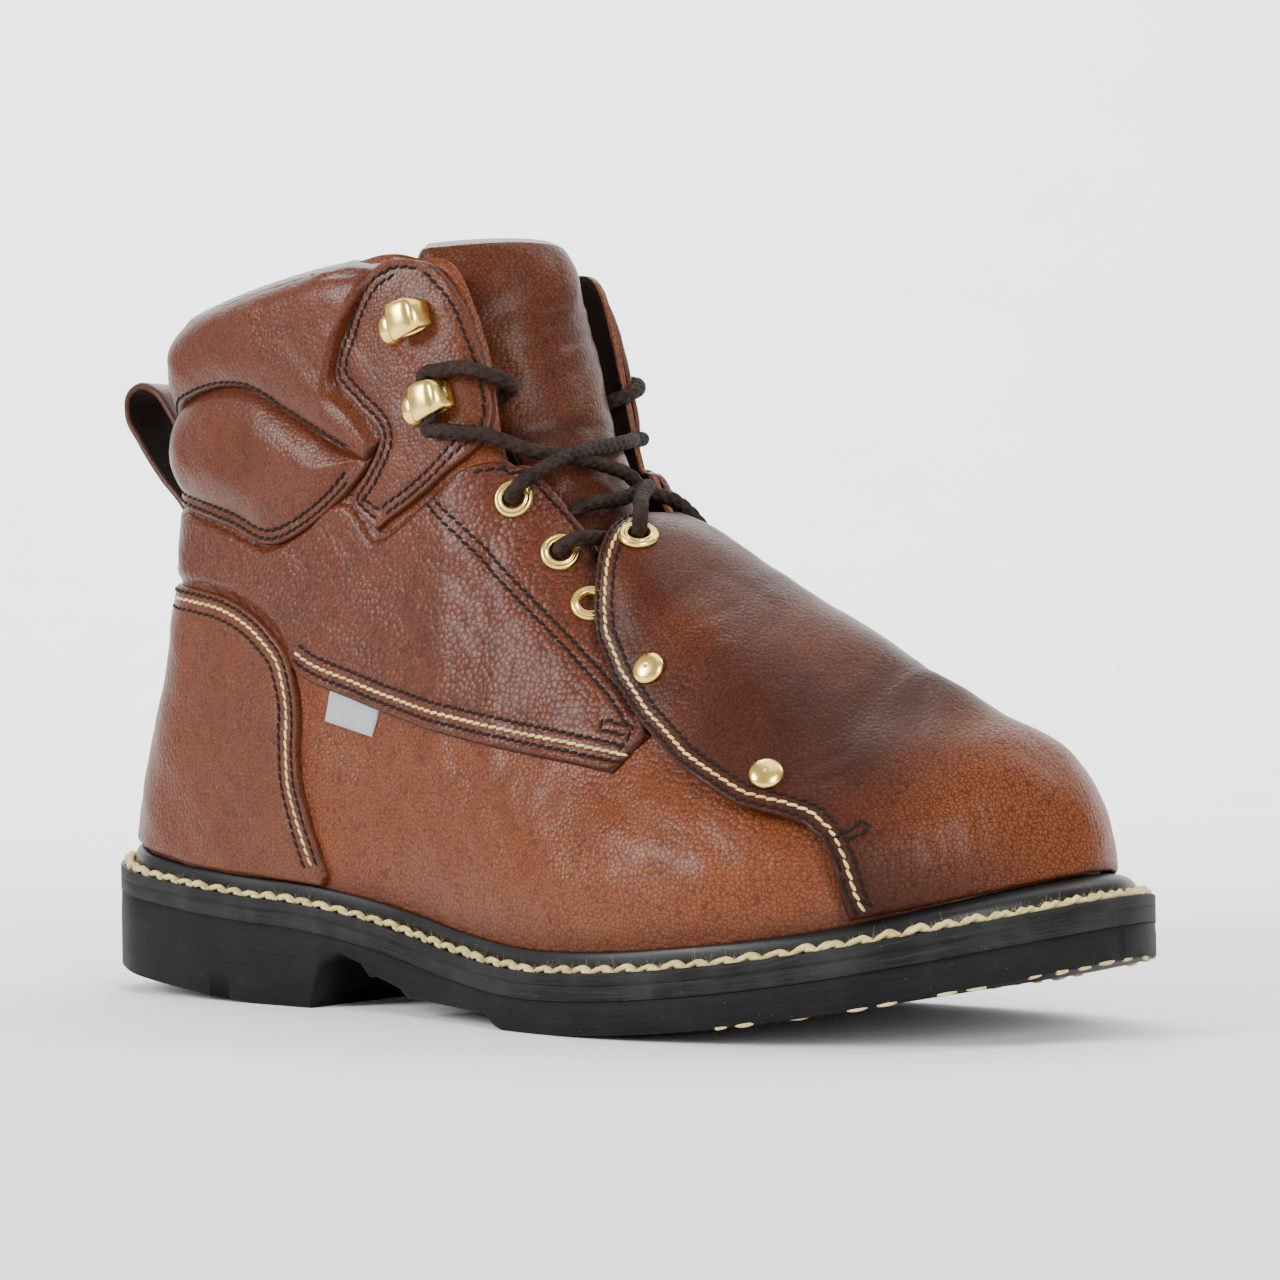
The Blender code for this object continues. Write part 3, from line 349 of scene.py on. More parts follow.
# Sole lines
def sole_edge(count):
    """Closed outline of the sole from the heel's back along the lateral side."""
    lateral = [(x, -out) for x, out, _ in OUTLINE]
    medial = [(x, out) for x, _, out in OUTLINE[::-1]]
    loop = [(0.0, 0.0)] + lateral + [TOE_TIP] + medial + [(0.0, 0.0)]
    padded = np.array(loop[-3:-1] + loop + loop[1:3], float)
    t = chord(padded)
    return smooth(t, padded, np.linspace(t[2], t[-3], count))


def ground_line(x):
    x = np.asarray(x, float)
    back = np.clip((HEEL_FLAT - x) / HEEL_FLAT, 0, 1)
    front = np.clip((x - SPRING_FROM) / (LENGTH - SPRING_FROM), 0, 1)
    return HEEL_RISE * back ** HEEL_RISE_POWER + SPRING * front ** SPRING_POWER


def stack_top(x):
    """Top of the welt ledge."""
    drop = ease(*STACK_DROP, x)
    return ground_line(x) + HEEL_STACK * (1 - drop) + FORE_STACK * drop


def underside(x):
    rows = np.array(ARCH)
    return ground_line(x) + np.interp(x, rows[:, 0], rows[:, 1], left=0, right=0)


def centre_line(x):
    return np.interp(x, (HEEL_AXIS[0], TOE_AXIS[0]), (HEEL_AXIS[1], TOE_AXIS[1]))


def rib_frame(station, side):
    """Foot and direction of the rib at a station; side is -1 lateral, +1 medial."""
    q = np.asarray(station, float)
    centre_x = np.clip(q, HEEL_AXIS[0], TOE_AXIS[0])
    heel_turn = np.clip((HEEL_AXIS[0] - q) / HEEL_AXIS[0], 0, 1)
    toe_turn = np.clip((q - TOE_AXIS[0]) / (LENGTH - TOE_AXIS[0]), 0, 1)
    angle = math.pi / 2 * (1 + heel_turn - toe_turn)
    return centre_x, centre_line(centre_x), np.cos(angle), np.sin(angle) * side


def measure_reach(side):
    """Distances from the ribs' feet to the sole's edge at every half millimetre."""
    stations = np.arange(0, LENGTH + 0.25, 0.5)
    edge = sole_edge(1600)
    start = edge[:-1]
    run = edge[1:] - start
    out = []
    for x, y, dx, dy in np.stack(np.broadcast_arrays(*rib_frame(stations, side)), -1):
        cross = dx * run[:, 1] - dy * run[:, 0]
        cross = np.where(np.abs(cross) < 1e-9, 1e-9, cross)
        far = ((start[:, 0] - x) * run[:, 1] - (start[:, 1] - y) * run[:, 0]) / cross
        part = ((start[:, 0] - x) * dy - (start[:, 1] - y) * dx) / cross
        out.append(far[(part >= 0) & (part <= 1) & (far > 0)].max())
    return stations, np.array(out)


REACH = {-1: measure_reach(-1), 1: measure_reach(1)}


def reach(station, side):
    return np.where(side < 0, np.interp(station, *REACH[-1]), np.interp(station, *REACH[1]))


class Skin:
    """Wall of a table of sections, read at signed stations (lateral above 0) and levels."""

    STEP = 0.5
    COUNT = 161

    def __init__(self, table, droop=0.0):
        self.start = -LENGTH
        stations = np.arange(-LENGTH, LENGTH + self.STEP / 2, self.STEP)
        levels = np.linspace(0, 1, self.COUNT)
        q = np.abs(stations)
        side = np.where(stations >= 0, -1.0, 1.0)
        rows = np.array(table, float)
        columns = smooth(rows[:, 0], rows[:, 1:-1], q).T
        inset, bulge, bulge_at, middle, middle_at, high, high_at, edge = columns
        top = smooth(rows[:, 0], rows[:, -1], np.minimum(q, TOE_AXIS[0]))
        lateral = reach(q, -1) - inset
        own = reach(q, side) - inset
        x, y, dx, dy = rib_frame(q, side)
        foot = stack_top(x + dx * (own + inset)) - WELT_THICK
        radii = np.stack([lateral, lateral + bulge, middle, high, np.maximum(0, edge)])
        shares = np.stack([0 * q, bulge_at, middle_at, high_at, 0 * q + 1])
        radius = smooth(LEVELS, radii, levels).T * (own / lateral)[:, None] ** (1 - levels)
        height = smooth(LEVELS, foot + shares * (top - foot), levels, flat_end=edge <= 0).T
        x, y, dx, dy = (v[:, None] for v in (x, y, dx, dy))
        self.points = np.stack([x + dx * radius, y + dy * radius, height], -1)
        inward = self.points[..., 1] - centre_line(self.points[..., 0])
        behind = 1 - ease(*DROOP_ALONG, self.points[..., 0])
        self.points[..., 2] -= droop * ease(*DROOP_ACROSS, inward) * behind
        height = self.points[..., 2]
        normal = np.cross(np.gradient(self.points, axis=0), np.gradient(self.points, axis=1))
        size = np.linalg.norm(normal, axis=-1, keepdims=True)
        self.normals = normal / np.maximum(size, 1e-9)
        pole = size[:, -1, 0] < 1e-6
        self.normals[pole, -1] = (0, 0, 1)
        self.heights = np.maximum.accumulate(height, axis=1)

    def at(self, station, level):
        """Points and outward normals."""
        i = np.clip((np.asarray(station, float) - self.start) / self.STEP, 0, len(self.points) - 1 - 1e-9)
        j = np.clip(np.asarray(level, float), 0, 1) * (self.COUNT - 1)
        j = np.minimum(j, self.COUNT - 1 - 1e-9)
        i0 = i.astype(int)
        j0 = j.astype(int)
        u = (i - i0)[..., None]
        v = (j - j0)[..., None]
        out = []
        for grid in (self.points, self.normals):
            low = grid[i0, j0] * (1 - u) + grid[i0 + 1, j0] * u
            high = grid[i0, j0 + 1] * (1 - u) + grid[i0 + 1, j0 + 1] * u
            out.append(low * (1 - v) + high * v)
        out[1] /= np.maximum(np.linalg.norm(out[1], axis=-1, keepdims=True), 1e-9)
        return out

    def level(self, station, z):
        """Levels at which the ribs reach the heights."""
        station, z = np.broadcast_arrays(np.asarray(station, float), np.asarray(z, float))
        i = np.clip((station.ravel() - self.start) / self.STEP, 0, len(self.points) - 1 - 1e-9)
        i0 = i.astype(int)
        u = (i - i0)[:, None]
        rows = self.heights[i0] * (1 - u) + self.heights[i0 + 1] * u
        flat = z.ravel()
        k = np.clip((rows < flat[:, None]).sum(1), 1, self.COUNT - 1)
        pick = np.arange(len(flat))
        low = rows[pick, k - 1]
        high = rows[pick, k]
        part = np.clip((flat - low) / np.maximum(high - low, 1e-9), 0, 1)
        return ((k - 1 + part) / (self.COUNT - 1)).reshape(station.shape)

    def spot(self, station, z):
        """Points and normals at stations and heights."""
        return self.at(station, self.level(station, z))

    def offset(self, curve, inset):
        """A curve of stations and heights moved sideways on the wall, to its left as seen from outside."""
        curve = np.array(curve, float)
        stations = self.start + self.STEP * np.arange(len(self.heights))
        top = np.interp(curve[:, 0], stations, self.heights[:, -1])
        curve[:, 1] = np.minimum(curve[:, 1], top - 0.6)
        here, normal = self.spot(curve[:, 0], curve[:, 1])
        nudge = 0.4
        by_station = (self.spot(curve[:, 0] + nudge, curve[:, 1])[0] - here) / nudge
        by_height = (self.spot(curve[:, 0], curve[:, 1] - nudge)[0] - here) / -nudge
        tangent = np.gradient(here, axis=0)
        tangent /= np.maximum(np.linalg.norm(tangent, axis=1, keepdims=True), 1e-9)
        move = np.cross(normal, tangent) * np.reshape(inset, (-1, 1))
        a = (by_station * by_station).sum(1)
        b = (by_station * by_height).sum(1)
        c = (by_height * by_height).sum(1)
        p = (by_station * move).sum(1)
        r = (by_height * move).sum(1)
        det = np.maximum(a * c - b * b, 1e-6)
        return curve + np.stack([(c * p - b * r) / det, (a * r - b * p) / det], 1)


BODY = Skin(SECTIONS)
GUARD = Skin(GUARD_SECTIONS, GUARD_DROOP)


# Meshes
def to_part(points):
    return (np.asarray(points, float) - CENTRE) * MM


def quads(rows, columns, base=0, flip=False):
    """Faces of a grid of points."""
    index = base + np.arange(rows * columns).reshape(rows, columns)
    faces = np.stack([index[:-1, :-1], index[1:, :-1], index[1:, 1:], index[:-1, 1:]], -1).reshape(-1, 4)
    return faces[:, ::-1] if flip else faces


def tube_faces(rows, columns, flip=False):
    """Faces of rings of points that follow each other, with a cap at both ends."""
    index = np.arange(rows * columns).reshape(rows, columns)
    ahead = np.roll(index, -1, axis=1)
    walls = [index[:-1], index[1:], ahead[1:], ahead[:-1]]
    caps = [index[0], index[-1, ::-1]]
    if flip:
        walls = [index[:-1], ahead[:-1], ahead[1:], index[1:]]
        caps = [cap[::-1] for cap in caps]
    return np.stack(walls, -1).reshape(-1, 4).tolist() + [cap.tolist() for cap in caps]


def joined(parts):
    """Points and faces of several meshes as one."""
    points = []
    faces = []
    for own_points, own_faces in parts:
        shift = sum(len(p) for p in points)
        points.append(own_points)
        faces += [[v + shift for v in face] for face in own_faces]
    return np.concatenate(points), faces


def weld(points, faces, marks=None):
    """Join points that coincide and drop what collapses; also gives the places of the faces kept."""
    _, first, index = np.unique(np.round(points, 3), axis=0, return_index=True, return_inverse=True)
    index = index.ravel()
    kept = []
    places = []
    for place, face in enumerate(index[faces]):
        ring = [v for k, v in enumerate(face) if v != face[k - 1]]
        if len(set(ring)) > 2:
            kept.append(ring)
            places.append(place)
    marks = {key: np.asarray(value)[first] for key, value in (marks or {}).items()}
    return points[first], kept, marks, np.array(places)


def list_of_four(faces):
    """Faces as rows of four, with a triangle's last point repeated."""
    return np.array([f if len(f) == 4 else [*f, f[-1]] for f in faces])


def point_normals(points, faces):
    """Outward normals at the points of a mesh of triangles and quads."""
    four = list_of_four(faces)
    p = points[four]
    face = np.cross(p[:, 2] - p[:, 0], p[:, 3] - p[:, 1])
    out = np.zeros_like(points)
    for k in range(4):
        np.add.at(out, four[:, k], face)
    return out / np.maximum(np.linalg.norm(out, axis=1, keepdims=True), 1e-12)


def relax(points, faces, weight, rounds):
    """Soften a mesh where the weight is above 0, without shrinking it."""
    four = list_of_four(faces)
    ends = np.concatenate([four[:, [k, (k + 1) % 4]] for k in range(4)])
    ends = np.concatenate([ends, ends[:, ::-1]])
    ends = ends[ends[:, 0] != ends[:, 1]]
    count = np.bincount(ends[:, 0], minlength=len(points))[:, None]
    for turn in range(2 * rounds):
        total = np.zeros_like(points)
        for axis in range(3):
            total[:, axis] = np.bincount(ends[:, 0], points[ends[:, 1], axis], minlength=len(points))
        share = 0.5 if turn % 2 == 0 else -0.5
        points = points + weight[:, None] * share * (total / np.maximum(count, 1) - points)
    return points


def piece(name, points, faces, looks, slot, nodes=(), marks=None, which=None):
    """A shown piece from points in millimetres; marks are named values at its points."""
    mesh = bpy.data.meshes.new(name)
    faces = faces.tolist() if isinstance(faces, np.ndarray) else faces
    mesh.from_pydata(to_part(points).tolist(), [], faces)
    for key, values in (marks or {}).items():
        kind = "FLOAT_VECTOR" if np.ndim(values) == 2 else "FLOAT"
        field = "vector" if np.ndim(values) == 2 else "value"
        mark = mesh.attributes.new(key, kind, "POINT")
        mark.data.foreach_set(field, np.asarray(values, np.float32).ravel())
    for used in looks if isinstance(looks, list) else [looks]:
        mesh.materials.append(used)
    if which is not None:
        mesh.polygons.foreach_set("material_index", np.asarray(which, np.int32))
    mesh.shade_smooth()
    made = bpy.data.objects.new(name, mesh)
    bpy.context.scene.collection.objects.link(made)
    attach(made, "root")
    if nodes:
        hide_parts(*nodes)
    return made


def sheet_faces(rows, columns):
    """Faces of a closed sheet whose outer and inner grids follow each other in the list of points."""
    n = rows * columns
    index = np.arange(n).reshape(rows, columns)
    rim = np.concatenate([index[:-1, 0], index[-1, :-1], index[:0:-1, -1], index[0, :0:-1]])
    ahead = np.roll(rim, -1)
    border = np.stack([rim, rim + n, ahead + n, ahead], 1)
    return np.concatenate([quads(rows, columns), quads(rows, columns, n, flip=True), border]), len(border)


class Near:
    """Distance to a curve in space and the place along it."""

    def __init__(self, points):
        points = np.asarray(points, float)
        t = chord(points)
        count = max(2, int(t[-1] / 0.3))
        self.line = sample(np.linspace(0, t[-1], count), t, points)
        self.tree = KDTree(count)
        for i, p in enumerate(self.line):
            self.tree.insert(p, i)
        self.tree.balance()

    def __call__(self, points):
        found = [self.tree.find(p) for p in points]
        far = np.array([f[2] for f in found])
        share = np.array([f[1] for f in found]) / (len(self.line) - 1)
        return far, share


def ripple(points, sizes=((0.16, 21.0), (0.09, 9.0))):
    """Slow unevenness of hand-lasted leather, in millimetres."""
    x, y, z = np.asarray(points, float).T
    out = np.zeros(len(x))
    for depth, length in sizes:
        k = 2 * math.pi / length
        out += depth * np.sin(k * (x + 0.4 * z) + 2.1 * np.sin(k * 0.37 * z + 0.6))
        out += depth * np.sin(k * (0.83 * z - 0.5 * y) + 1.7 * np.sin(k * 0.41 * x + 1.3))
    return out


def folds(skin, points, table):
    """Soft troughs with raised sides along listed lines; one height for each point."""
    out = np.zeros(len(points))
    for line, depth, width in table:
        curve = along(line, np.linspace(0, 1, 24))
        far, share = Near(skin.spot(curve[:, 0], curve[:, 1])[0])(points)
        fade = np.sin(np.pi * np.clip(share, 0.02, 0.98)) ** 0.6
        trough = bell(far, 0, width)
        ridge = bell(far, 1.7 * width, width)
        out += fade * depth * (0.45 * ridge - trough)
    return out


def roll(distance, radius=EDGE_ROLL):
    """Rounded rise of an edge: 0 at the edge, 1 from the radius on."""
    s = 1 - np.clip(distance / radius, 0, 1)
    return np.sqrt(np.maximum(0.0, 1 - s * s))


# Materials
def node(tree, kind, **values):
    made = tree.nodes.new("ShaderNode" + kind)
    for key, value in values.items():
        if key in made.inputs:
            made.inputs[key].default_value = value
        else:
            setattr(made, key, value)
    return made


def look(name, **sockets):
    """New Principled material with its plain values set; returns material, tree and shader."""
    made = bpy.data.materials.new(name)
    made.use_nodes = True
    shader = made.node_tree.nodes["Principled BSDF"]
    for key, value in sockets.items():
        shader.inputs[key.replace("_", " ").title().replace("Ior", "IOR")].default_value = value
    return made, made.node_tree, shader


def ramp(tree, value, low, high, a=0.0, b=1.0):
    """Soft step from a at low to b at high."""
    made = node(tree, "MapRange", interpolation_type="SMOOTHSTEP")
    for key, number in zip(("From Min", "From Max", "To Min", "To Max"), (low, high, a, b)):
        made.inputs[key].default_value = number
    tree.links.new(value, made.inputs["Value"])
    return made.outputs["Result"]


def blend(tree, share, a, b):
    """Mix of two colours, each a socket or a plain colour, by a socket."""
    made = node(tree, "Mix", data_type="RGBA")
    tree.links.new(share, made.inputs[0])
    for slot, value in ((6, a), (7, b)):
        if isinstance(value, tuple):
            made.inputs[slot].default_value = (*value, 1)
        else:
            tree.links.new(value, made.inputs[slot])
    return made.outputs[2]


def sum_of(tree, terms, start=0.0):
    """Weighted sum of sockets on top of a start value."""
    total = None
    for socket, weight in terms:
        made = node(tree, "Math", operation="MULTIPLY_ADD")
        tree.links.new(socket, made.inputs[0])
        made.inputs[1].default_value = weight
        if total is None:
            made.inputs[2].default_value = start
        else:
            tree.links.new(total, made.inputs[2])
        total = made.outputs[0]
    return total


def product(tree, a, b):
    """Product of two sockets."""
    made = node(tree, "Math", operation="MULTIPLY")
    tree.links.new(a, made.inputs[0])
    tree.links.new(b, made.inputs[1])
    return made.outputs[0]


def noise(tree, where, size, detail=3.0, rough=0.55):
    """Noise with a size in millimetres."""
    made = node(tree, "TexNoise", Scale=1000.0 / size, Detail=detail, Roughness=rough)
    tree.links.new(where, made.inputs["Vector"])
    return made.outputs["Fac"]


def bump(tree, shader, height, depth):
    """Relief with a depth in millimetres."""
    made = node(tree, "Bump", Strength=1.0, Distance=depth * MM)
    tree.links.new(height, made.inputs["Height"])
    tree.links.new(made.outputs["Normal"], shader.inputs["Normal"])
    return made


def leather(name, deep, base, light, grain, depth, roughness, shine=0.24, pleats=False):
    """Grained leather: pebbles of the grain's size in millimetres, tone from the marks on the mesh."""
    made, tree, shader = look(name, coat_weight=0.04, coat_roughness=0.2, specular_ior_level=shine)
    where = node(tree, "TexCoord").outputs["Object"]
    bend = node(tree, "TexNoise", Scale=1000.0 / (3.2 * grain), Detail=1.0)
    tree.links.new(where, bend.inputs["Vector"])
    spread = node(tree, "VectorMath", operation="SCALE", Scale=0.8 * grain * MM)
    tree.links.new(bend.outputs["Color"], spread.inputs[0])
    moved = node(tree, "VectorMath", operation="ADD")
    tree.links.new(where, moved.inputs[0])
    tree.links.new(spread.outputs[0], moved.inputs[1])
    domes = node(tree, "TexVoronoi", feature="F1", Scale=1000.0 / grain, Randomness=0.85)
    cells = node(tree, "TexVoronoi", feature="DISTANCE_TO_EDGE", Scale=1000.0 / grain, Randomness=0.85)
    small = node(tree, "TexVoronoi", feature="DISTANCE_TO_EDGE", Scale=1000.0 / (0.45 * grain))
    for cell in (domes, cells, small):
        tree.links.new(moved.outputs[0], cell.inputs["Vector"])
    wide = ramp(tree, cells.outputs["Distance"], 0.0, 0.45)
    hollow = product(tree, domes.outputs["Distance"], domes.outputs["Distance"])
    crack = ramp(tree, cells.outputs["Distance"], 0.01, 0.18, 0.72, 0.0)
    fine = ramp(tree, small.outputs["Distance"], 0.0, 0.3)
    pores = noise(tree, where, 0.45, 4.0)
    slow = noise(tree, where, 34.0, 4.0)
    patch = noise(tree, where, 9.0, 5.0, 0.62)
    warm = node(tree, "Attribute", attribute_name="warm").outputs["Fac"]
    dark = node(tree, "Attribute", attribute_name="dark").outputs["Fac"]
    terms = [(hollow, -1.0), (fine, 0.06), (pores, 0.06)]
    if pleats:
        upright = node(tree, "Mapping")
        upright.inputs["Scale"].default_value = (1.0, 1.0, 0.16)
        tree.links.new(where, upright.inputs["Vector"])
        lines = noise(tree, upright.outputs["Vector"], 1.5, 2.0)
        terms.append((product(tree, lines, warm), 3.0))
    relief = bump(tree, shader, sum_of(tree, terms), depth)
    strength = ramp(tree, noise(tree, where, 26.0, 2.0), 0.36, 0.6, 0.6, 1.0)
    tree.links.new(strength, relief.inputs["Strength"])
    tone = blend(tree, ramp(tree, slow, 0.3, 0.7, 0.0, 0.4), base, light)
    tone = blend(tree, ramp(tree, patch, 0.45, 0.8, 0.0, 0.35), tone, deep)
    # The warm mark lifts the tone towards light; on the guard it is a painted highlight
    tone = blend(tree, warm, tone, light)
    tone = blend(tree, crack, tone, deep)
    tone = blend(tree, ramp(tree, fine, 0.0, 0.6, 0.22, 0.0), tone, deep)
    # The dark mark darkens edges, and carries painted shade on the upper, the counter and the guard
    tone = blend(tree, dark, tone, deep)
    tree.links.new(tone, shader.inputs["Base Color"])
    gloss = sum_of(tree, [(patch, 0.18), (wide, -0.08), (dark, 0.1)], roughness - 0.05)
    tree.links.new(gloss, shader.inputs["Roughness"])
    return made


def rubber(name, base, dust, roughness, streak=False, shine=0.13):
    """Moulded black rubber with dust specks; a ground edge has streaks along its length."""
    made, tree, shader = look(name, specular_ior_level=shine)
    where = node(tree, "TexCoord").outputs["Object"]
    speck = node(tree, "TexVoronoi", feature="F1", Scale=1000.0 / 2.6)
    tree.links.new(where, speck.inputs["Vector"])
    dots = ramp(tree, speck.outputs["Distance"], 0.035, 0.07, 1.0, 0.0)
    haze = noise(tree, where, 14.0, 5.0)
    fine = noise(tree, where, 0.35, 3.0)
    tone = blend(tree, ramp(tree, haze, 0.35, 0.75), base, dust)
    height = fine
    if streak:
        run = node(tree, "Attribute", attribute_name="run").outputs["Vector"]
        lines = node(tree, "TexNoise", Scale=1.0, Detail=6.0, Roughness=0.7)
        tree.links.new(run, lines.inputs["Vector"])
        tone = blend(tree, ramp(tree, lines.outputs["Fac"], 0.42, 0.72), tone, dust)
        height = sum_of(tree, [(lines.outputs["Fac"], 1.0), (fine, 0.3)])
    tone = blend(tree, ramp(tree, dots, 0.0, 1.0, 0.0, 0.5), tone, (0.12, 0.115, 0.11))
    tree.links.new(tone, shader.inputs["Base Color"])
    bump(tree, shader, height, 0.12 if streak else 0.06)
    gloss = sum_of(tree, [(haze, 0.2), (fine, 0.1)], roughness - 0.15)
    tree.links.new(gloss, shader.inputs["Roughness"])
    return made


def brass(name):
    made, tree, shader = look(name, metallic=1.0)
    where = node(tree, "TexCoord").outputs["Object"]
    smear = noise(tree, where, 2.5, 4.0)
    pits = noise(tree, where, 0.6, 3.0)
    tone = blend(tree, ramp(tree, smear, 0.35, 0.8), (0.98, 0.71, 0.21), (0.86, 0.58, 0.14))
    tree.links.new(tone, shader.inputs["Base Color"])
    tree.links.new(ramp(tree, smear, 0.25, 0.8, 0.22, 0.32), shader.inputs["Roughness"])
    bump(tree, shader, pits, 0.002)
    return made


def thread(name, base, shade, twist):
    """Twisted thread; the size of its twist is in millimetres."""
    made, tree, shader = look(name, roughness=0.72, specular_ior_level=0.22)
    where = node(tree, "TexCoord").outputs["Object"]
    fuzz = noise(tree, where, 0.25, 3.0)
    slow = noise(tree, where, 5.0, 3.0)
    ply = noise(tree, where, twist, 2.0)
    tone = blend(tree, ramp(tree, slow, 0.3, 0.75), base, shade)
    tone = blend(tree, ramp(tree, ply, 0.5, 0.75, 0.0, 0.6), tone, shade)
    tree.links.new(tone, shader.inputs["Base Color"])
    bump(tree, shader, sum_of(tree, [(ply, 1.0), (fuzz, 0.5)]), 0.12)
    return made


def cloth(name, base, shade, pitch):
    """Knitted or woven cloth with a pitch in millimetres."""
    made, tree, shader = look(name, roughness=0.92, sheen_weight=0.3, specular_ior_level=0.2)
    where = node(tree, "TexCoord").outputs["Object"]
    height = None
    for direction in ("X", "Z"):
        wave = node(tree, "TexWave", wave_type="BANDS", bands_direction=direction,
                    Scale=100.0 * math.pi / pitch, Distortion=2.0, Detail=2.0)
        wave.inputs["Detail Scale"].default_value = 3.0
        tree.links.new(where, wave.inputs["Vector"])
        height = sum_of(tree, [(wave.outputs["Fac"], 0.5)] + ([(height, 1.0)] if height else []))
    fuzz = noise(tree, where, 0.6, 4.0)
    tone = blend(tree, ramp(tree, height, 0.2, 0.8), shade, base)
    tone = blend(tree, ramp(tree, fuzz, 0.45, 0.8, 0.0, 0.4), tone, shade)
    tree.links.new(tone, shader.inputs["Base Color"])
    bump(tree, shader, sum_of(tree, [(height, 1.0), (fuzz, 0.5)]), 0.25)
    return made


def suede(name, base, shade):
    made, tree, shader = look(name, roughness=0.95, sheen_weight=0.04, specular_ior_level=0.1)
    where = node(tree, "TexCoord").outputs["Object"]
    nap = noise(tree, where, 0.7, 5.0, 0.7)
    slow = noise(tree, where, 12.0, 4.0)
    tone = blend(tree, ramp(tree, nap, 0.35, 0.7), shade, base)
    tone = blend(tree, ramp(tree, slow, 0.4, 0.8, 0.0, 0.5), tone, shade)
    tree.links.new(tone, shader.inputs["Base Color"])
    bump(tree, shader, nap, 0.3)
    return made


VAMP = leather("leather_vamp", (0.036, 0.0082, 0.003), (0.165, 0.0400, 0.0105), (0.215, 0.058, 0.0150),
               grain=1.15, depth=0.22, roughness=0.37)
QUARTER = leather("leather_quarter", (0.026, 0.0058, 0.0022), (0.105, 0.0225, 0.0068),
                  (0.145, 0.034, 0.0100), grain=1.5, depth=0.36, roughness=0.37)
SOFT = leather("leather_soft", (0.028, 0.0062, 0.0022), (0.108, 0.0235, 0.0072), (0.158, 0.038, 0.0105),
               grain=1.1, depth=0.18, roughness=0.36)
COVER = leather("leather_guard", (0.021, 0.0054, 0.0028), (0.052, 0.0132, 0.0066), (0.182, 0.049, 0.0150),
                grain=1.1, depth=0.17, roughness=0.37, shine=0.12, pleats=True)
OUTSOLE = rubber("rubber_outsole", (0.0036, 0.0035, 0.0037), (0.010, 0.010, 0.0102), 0.6, streak=True)
MIDSOLE = rubber("rubber_ground_edge", (0.0065, 0.0063, 0.0066), (0.026, 0.025, 0.026), 0.62, streak=True)
BEAD = rubber("rubber_welt", (0.0045, 0.0045, 0.0047), (0.009, 0.009, 0.0095), 0.38, shine=0.3)
BRASS = brass("brass")
CREAM = thread("thread_cream", (0.74, 0.62, 0.29), (0.46, 0.35, 0.13), 0.5)
DARK = thread("thread_dark", (0.010, 0.0052, 0.0035), (0.005, 0.0026, 0.0018), 0.5)
CORD = thread("lace_braid", (0.025, 0.0120, 0.0072), (0.007, 0.0035, 0.0023), 0.8)
LINING = cloth("lining_cloth", (0.42, 0.405, 0.38), (0.27, 0.26, 0.245), 0.9)
TAG = cloth("tag_cloth", (0.55, 0.56, 0.58), (0.36, 0.37, 0.39), 0.4)
NAP = suede("suede_lining", (0.030, 0.0125, 0.0068), (0.008, 0.0036, 0.002))


# Stage
CAMERA_AT = (555.6, -677.5, 89.1)
CAMERA_BACK = (0.6186, -0.7857, -0.0045)
CAMERA_ROLL = math.radians(0.9)
CAMERA_LENS = 97.03
CAMERA_SENSOR = 36.0
FLOOR_NEAR = -1.6
FLOOR_FAR = 0.9
FLOOR_HALF = 3.5
SWEEP_RADIUS = 0.8
BACK_TOP = 3.2
WORLD_LIGHT = 0.5


def make_camera():
    back = Vector(CAMERA_BACK).normalized()
    right = Vector(UP).cross(back).normalized()
    up = back.cross(right)
    right_c = right * math.cos(CAMERA_ROLL) - up * math.sin(CAMERA_ROLL)
    up_c = right * math.sin(CAMERA_ROLL) + up * math.cos(CAMERA_ROLL)
    data = bpy.data.cameras.new("camera")
    data.sensor_width = CAMERA_SENSOR
    data.lens = CAMERA_LENS
    data.clip_start = 0.01
    camera = bpy.data.objects.new("camera", data)
    turn = Matrix((right_c, up_c, back)).transposed().to_4x4()
    camera.matrix_world = Matrix.Translation(Vector(CAMERA_AT) * MM) @ turn
    bpy.context.scene.collection.objects.link(camera)
    bpy.context.scene.camera = camera


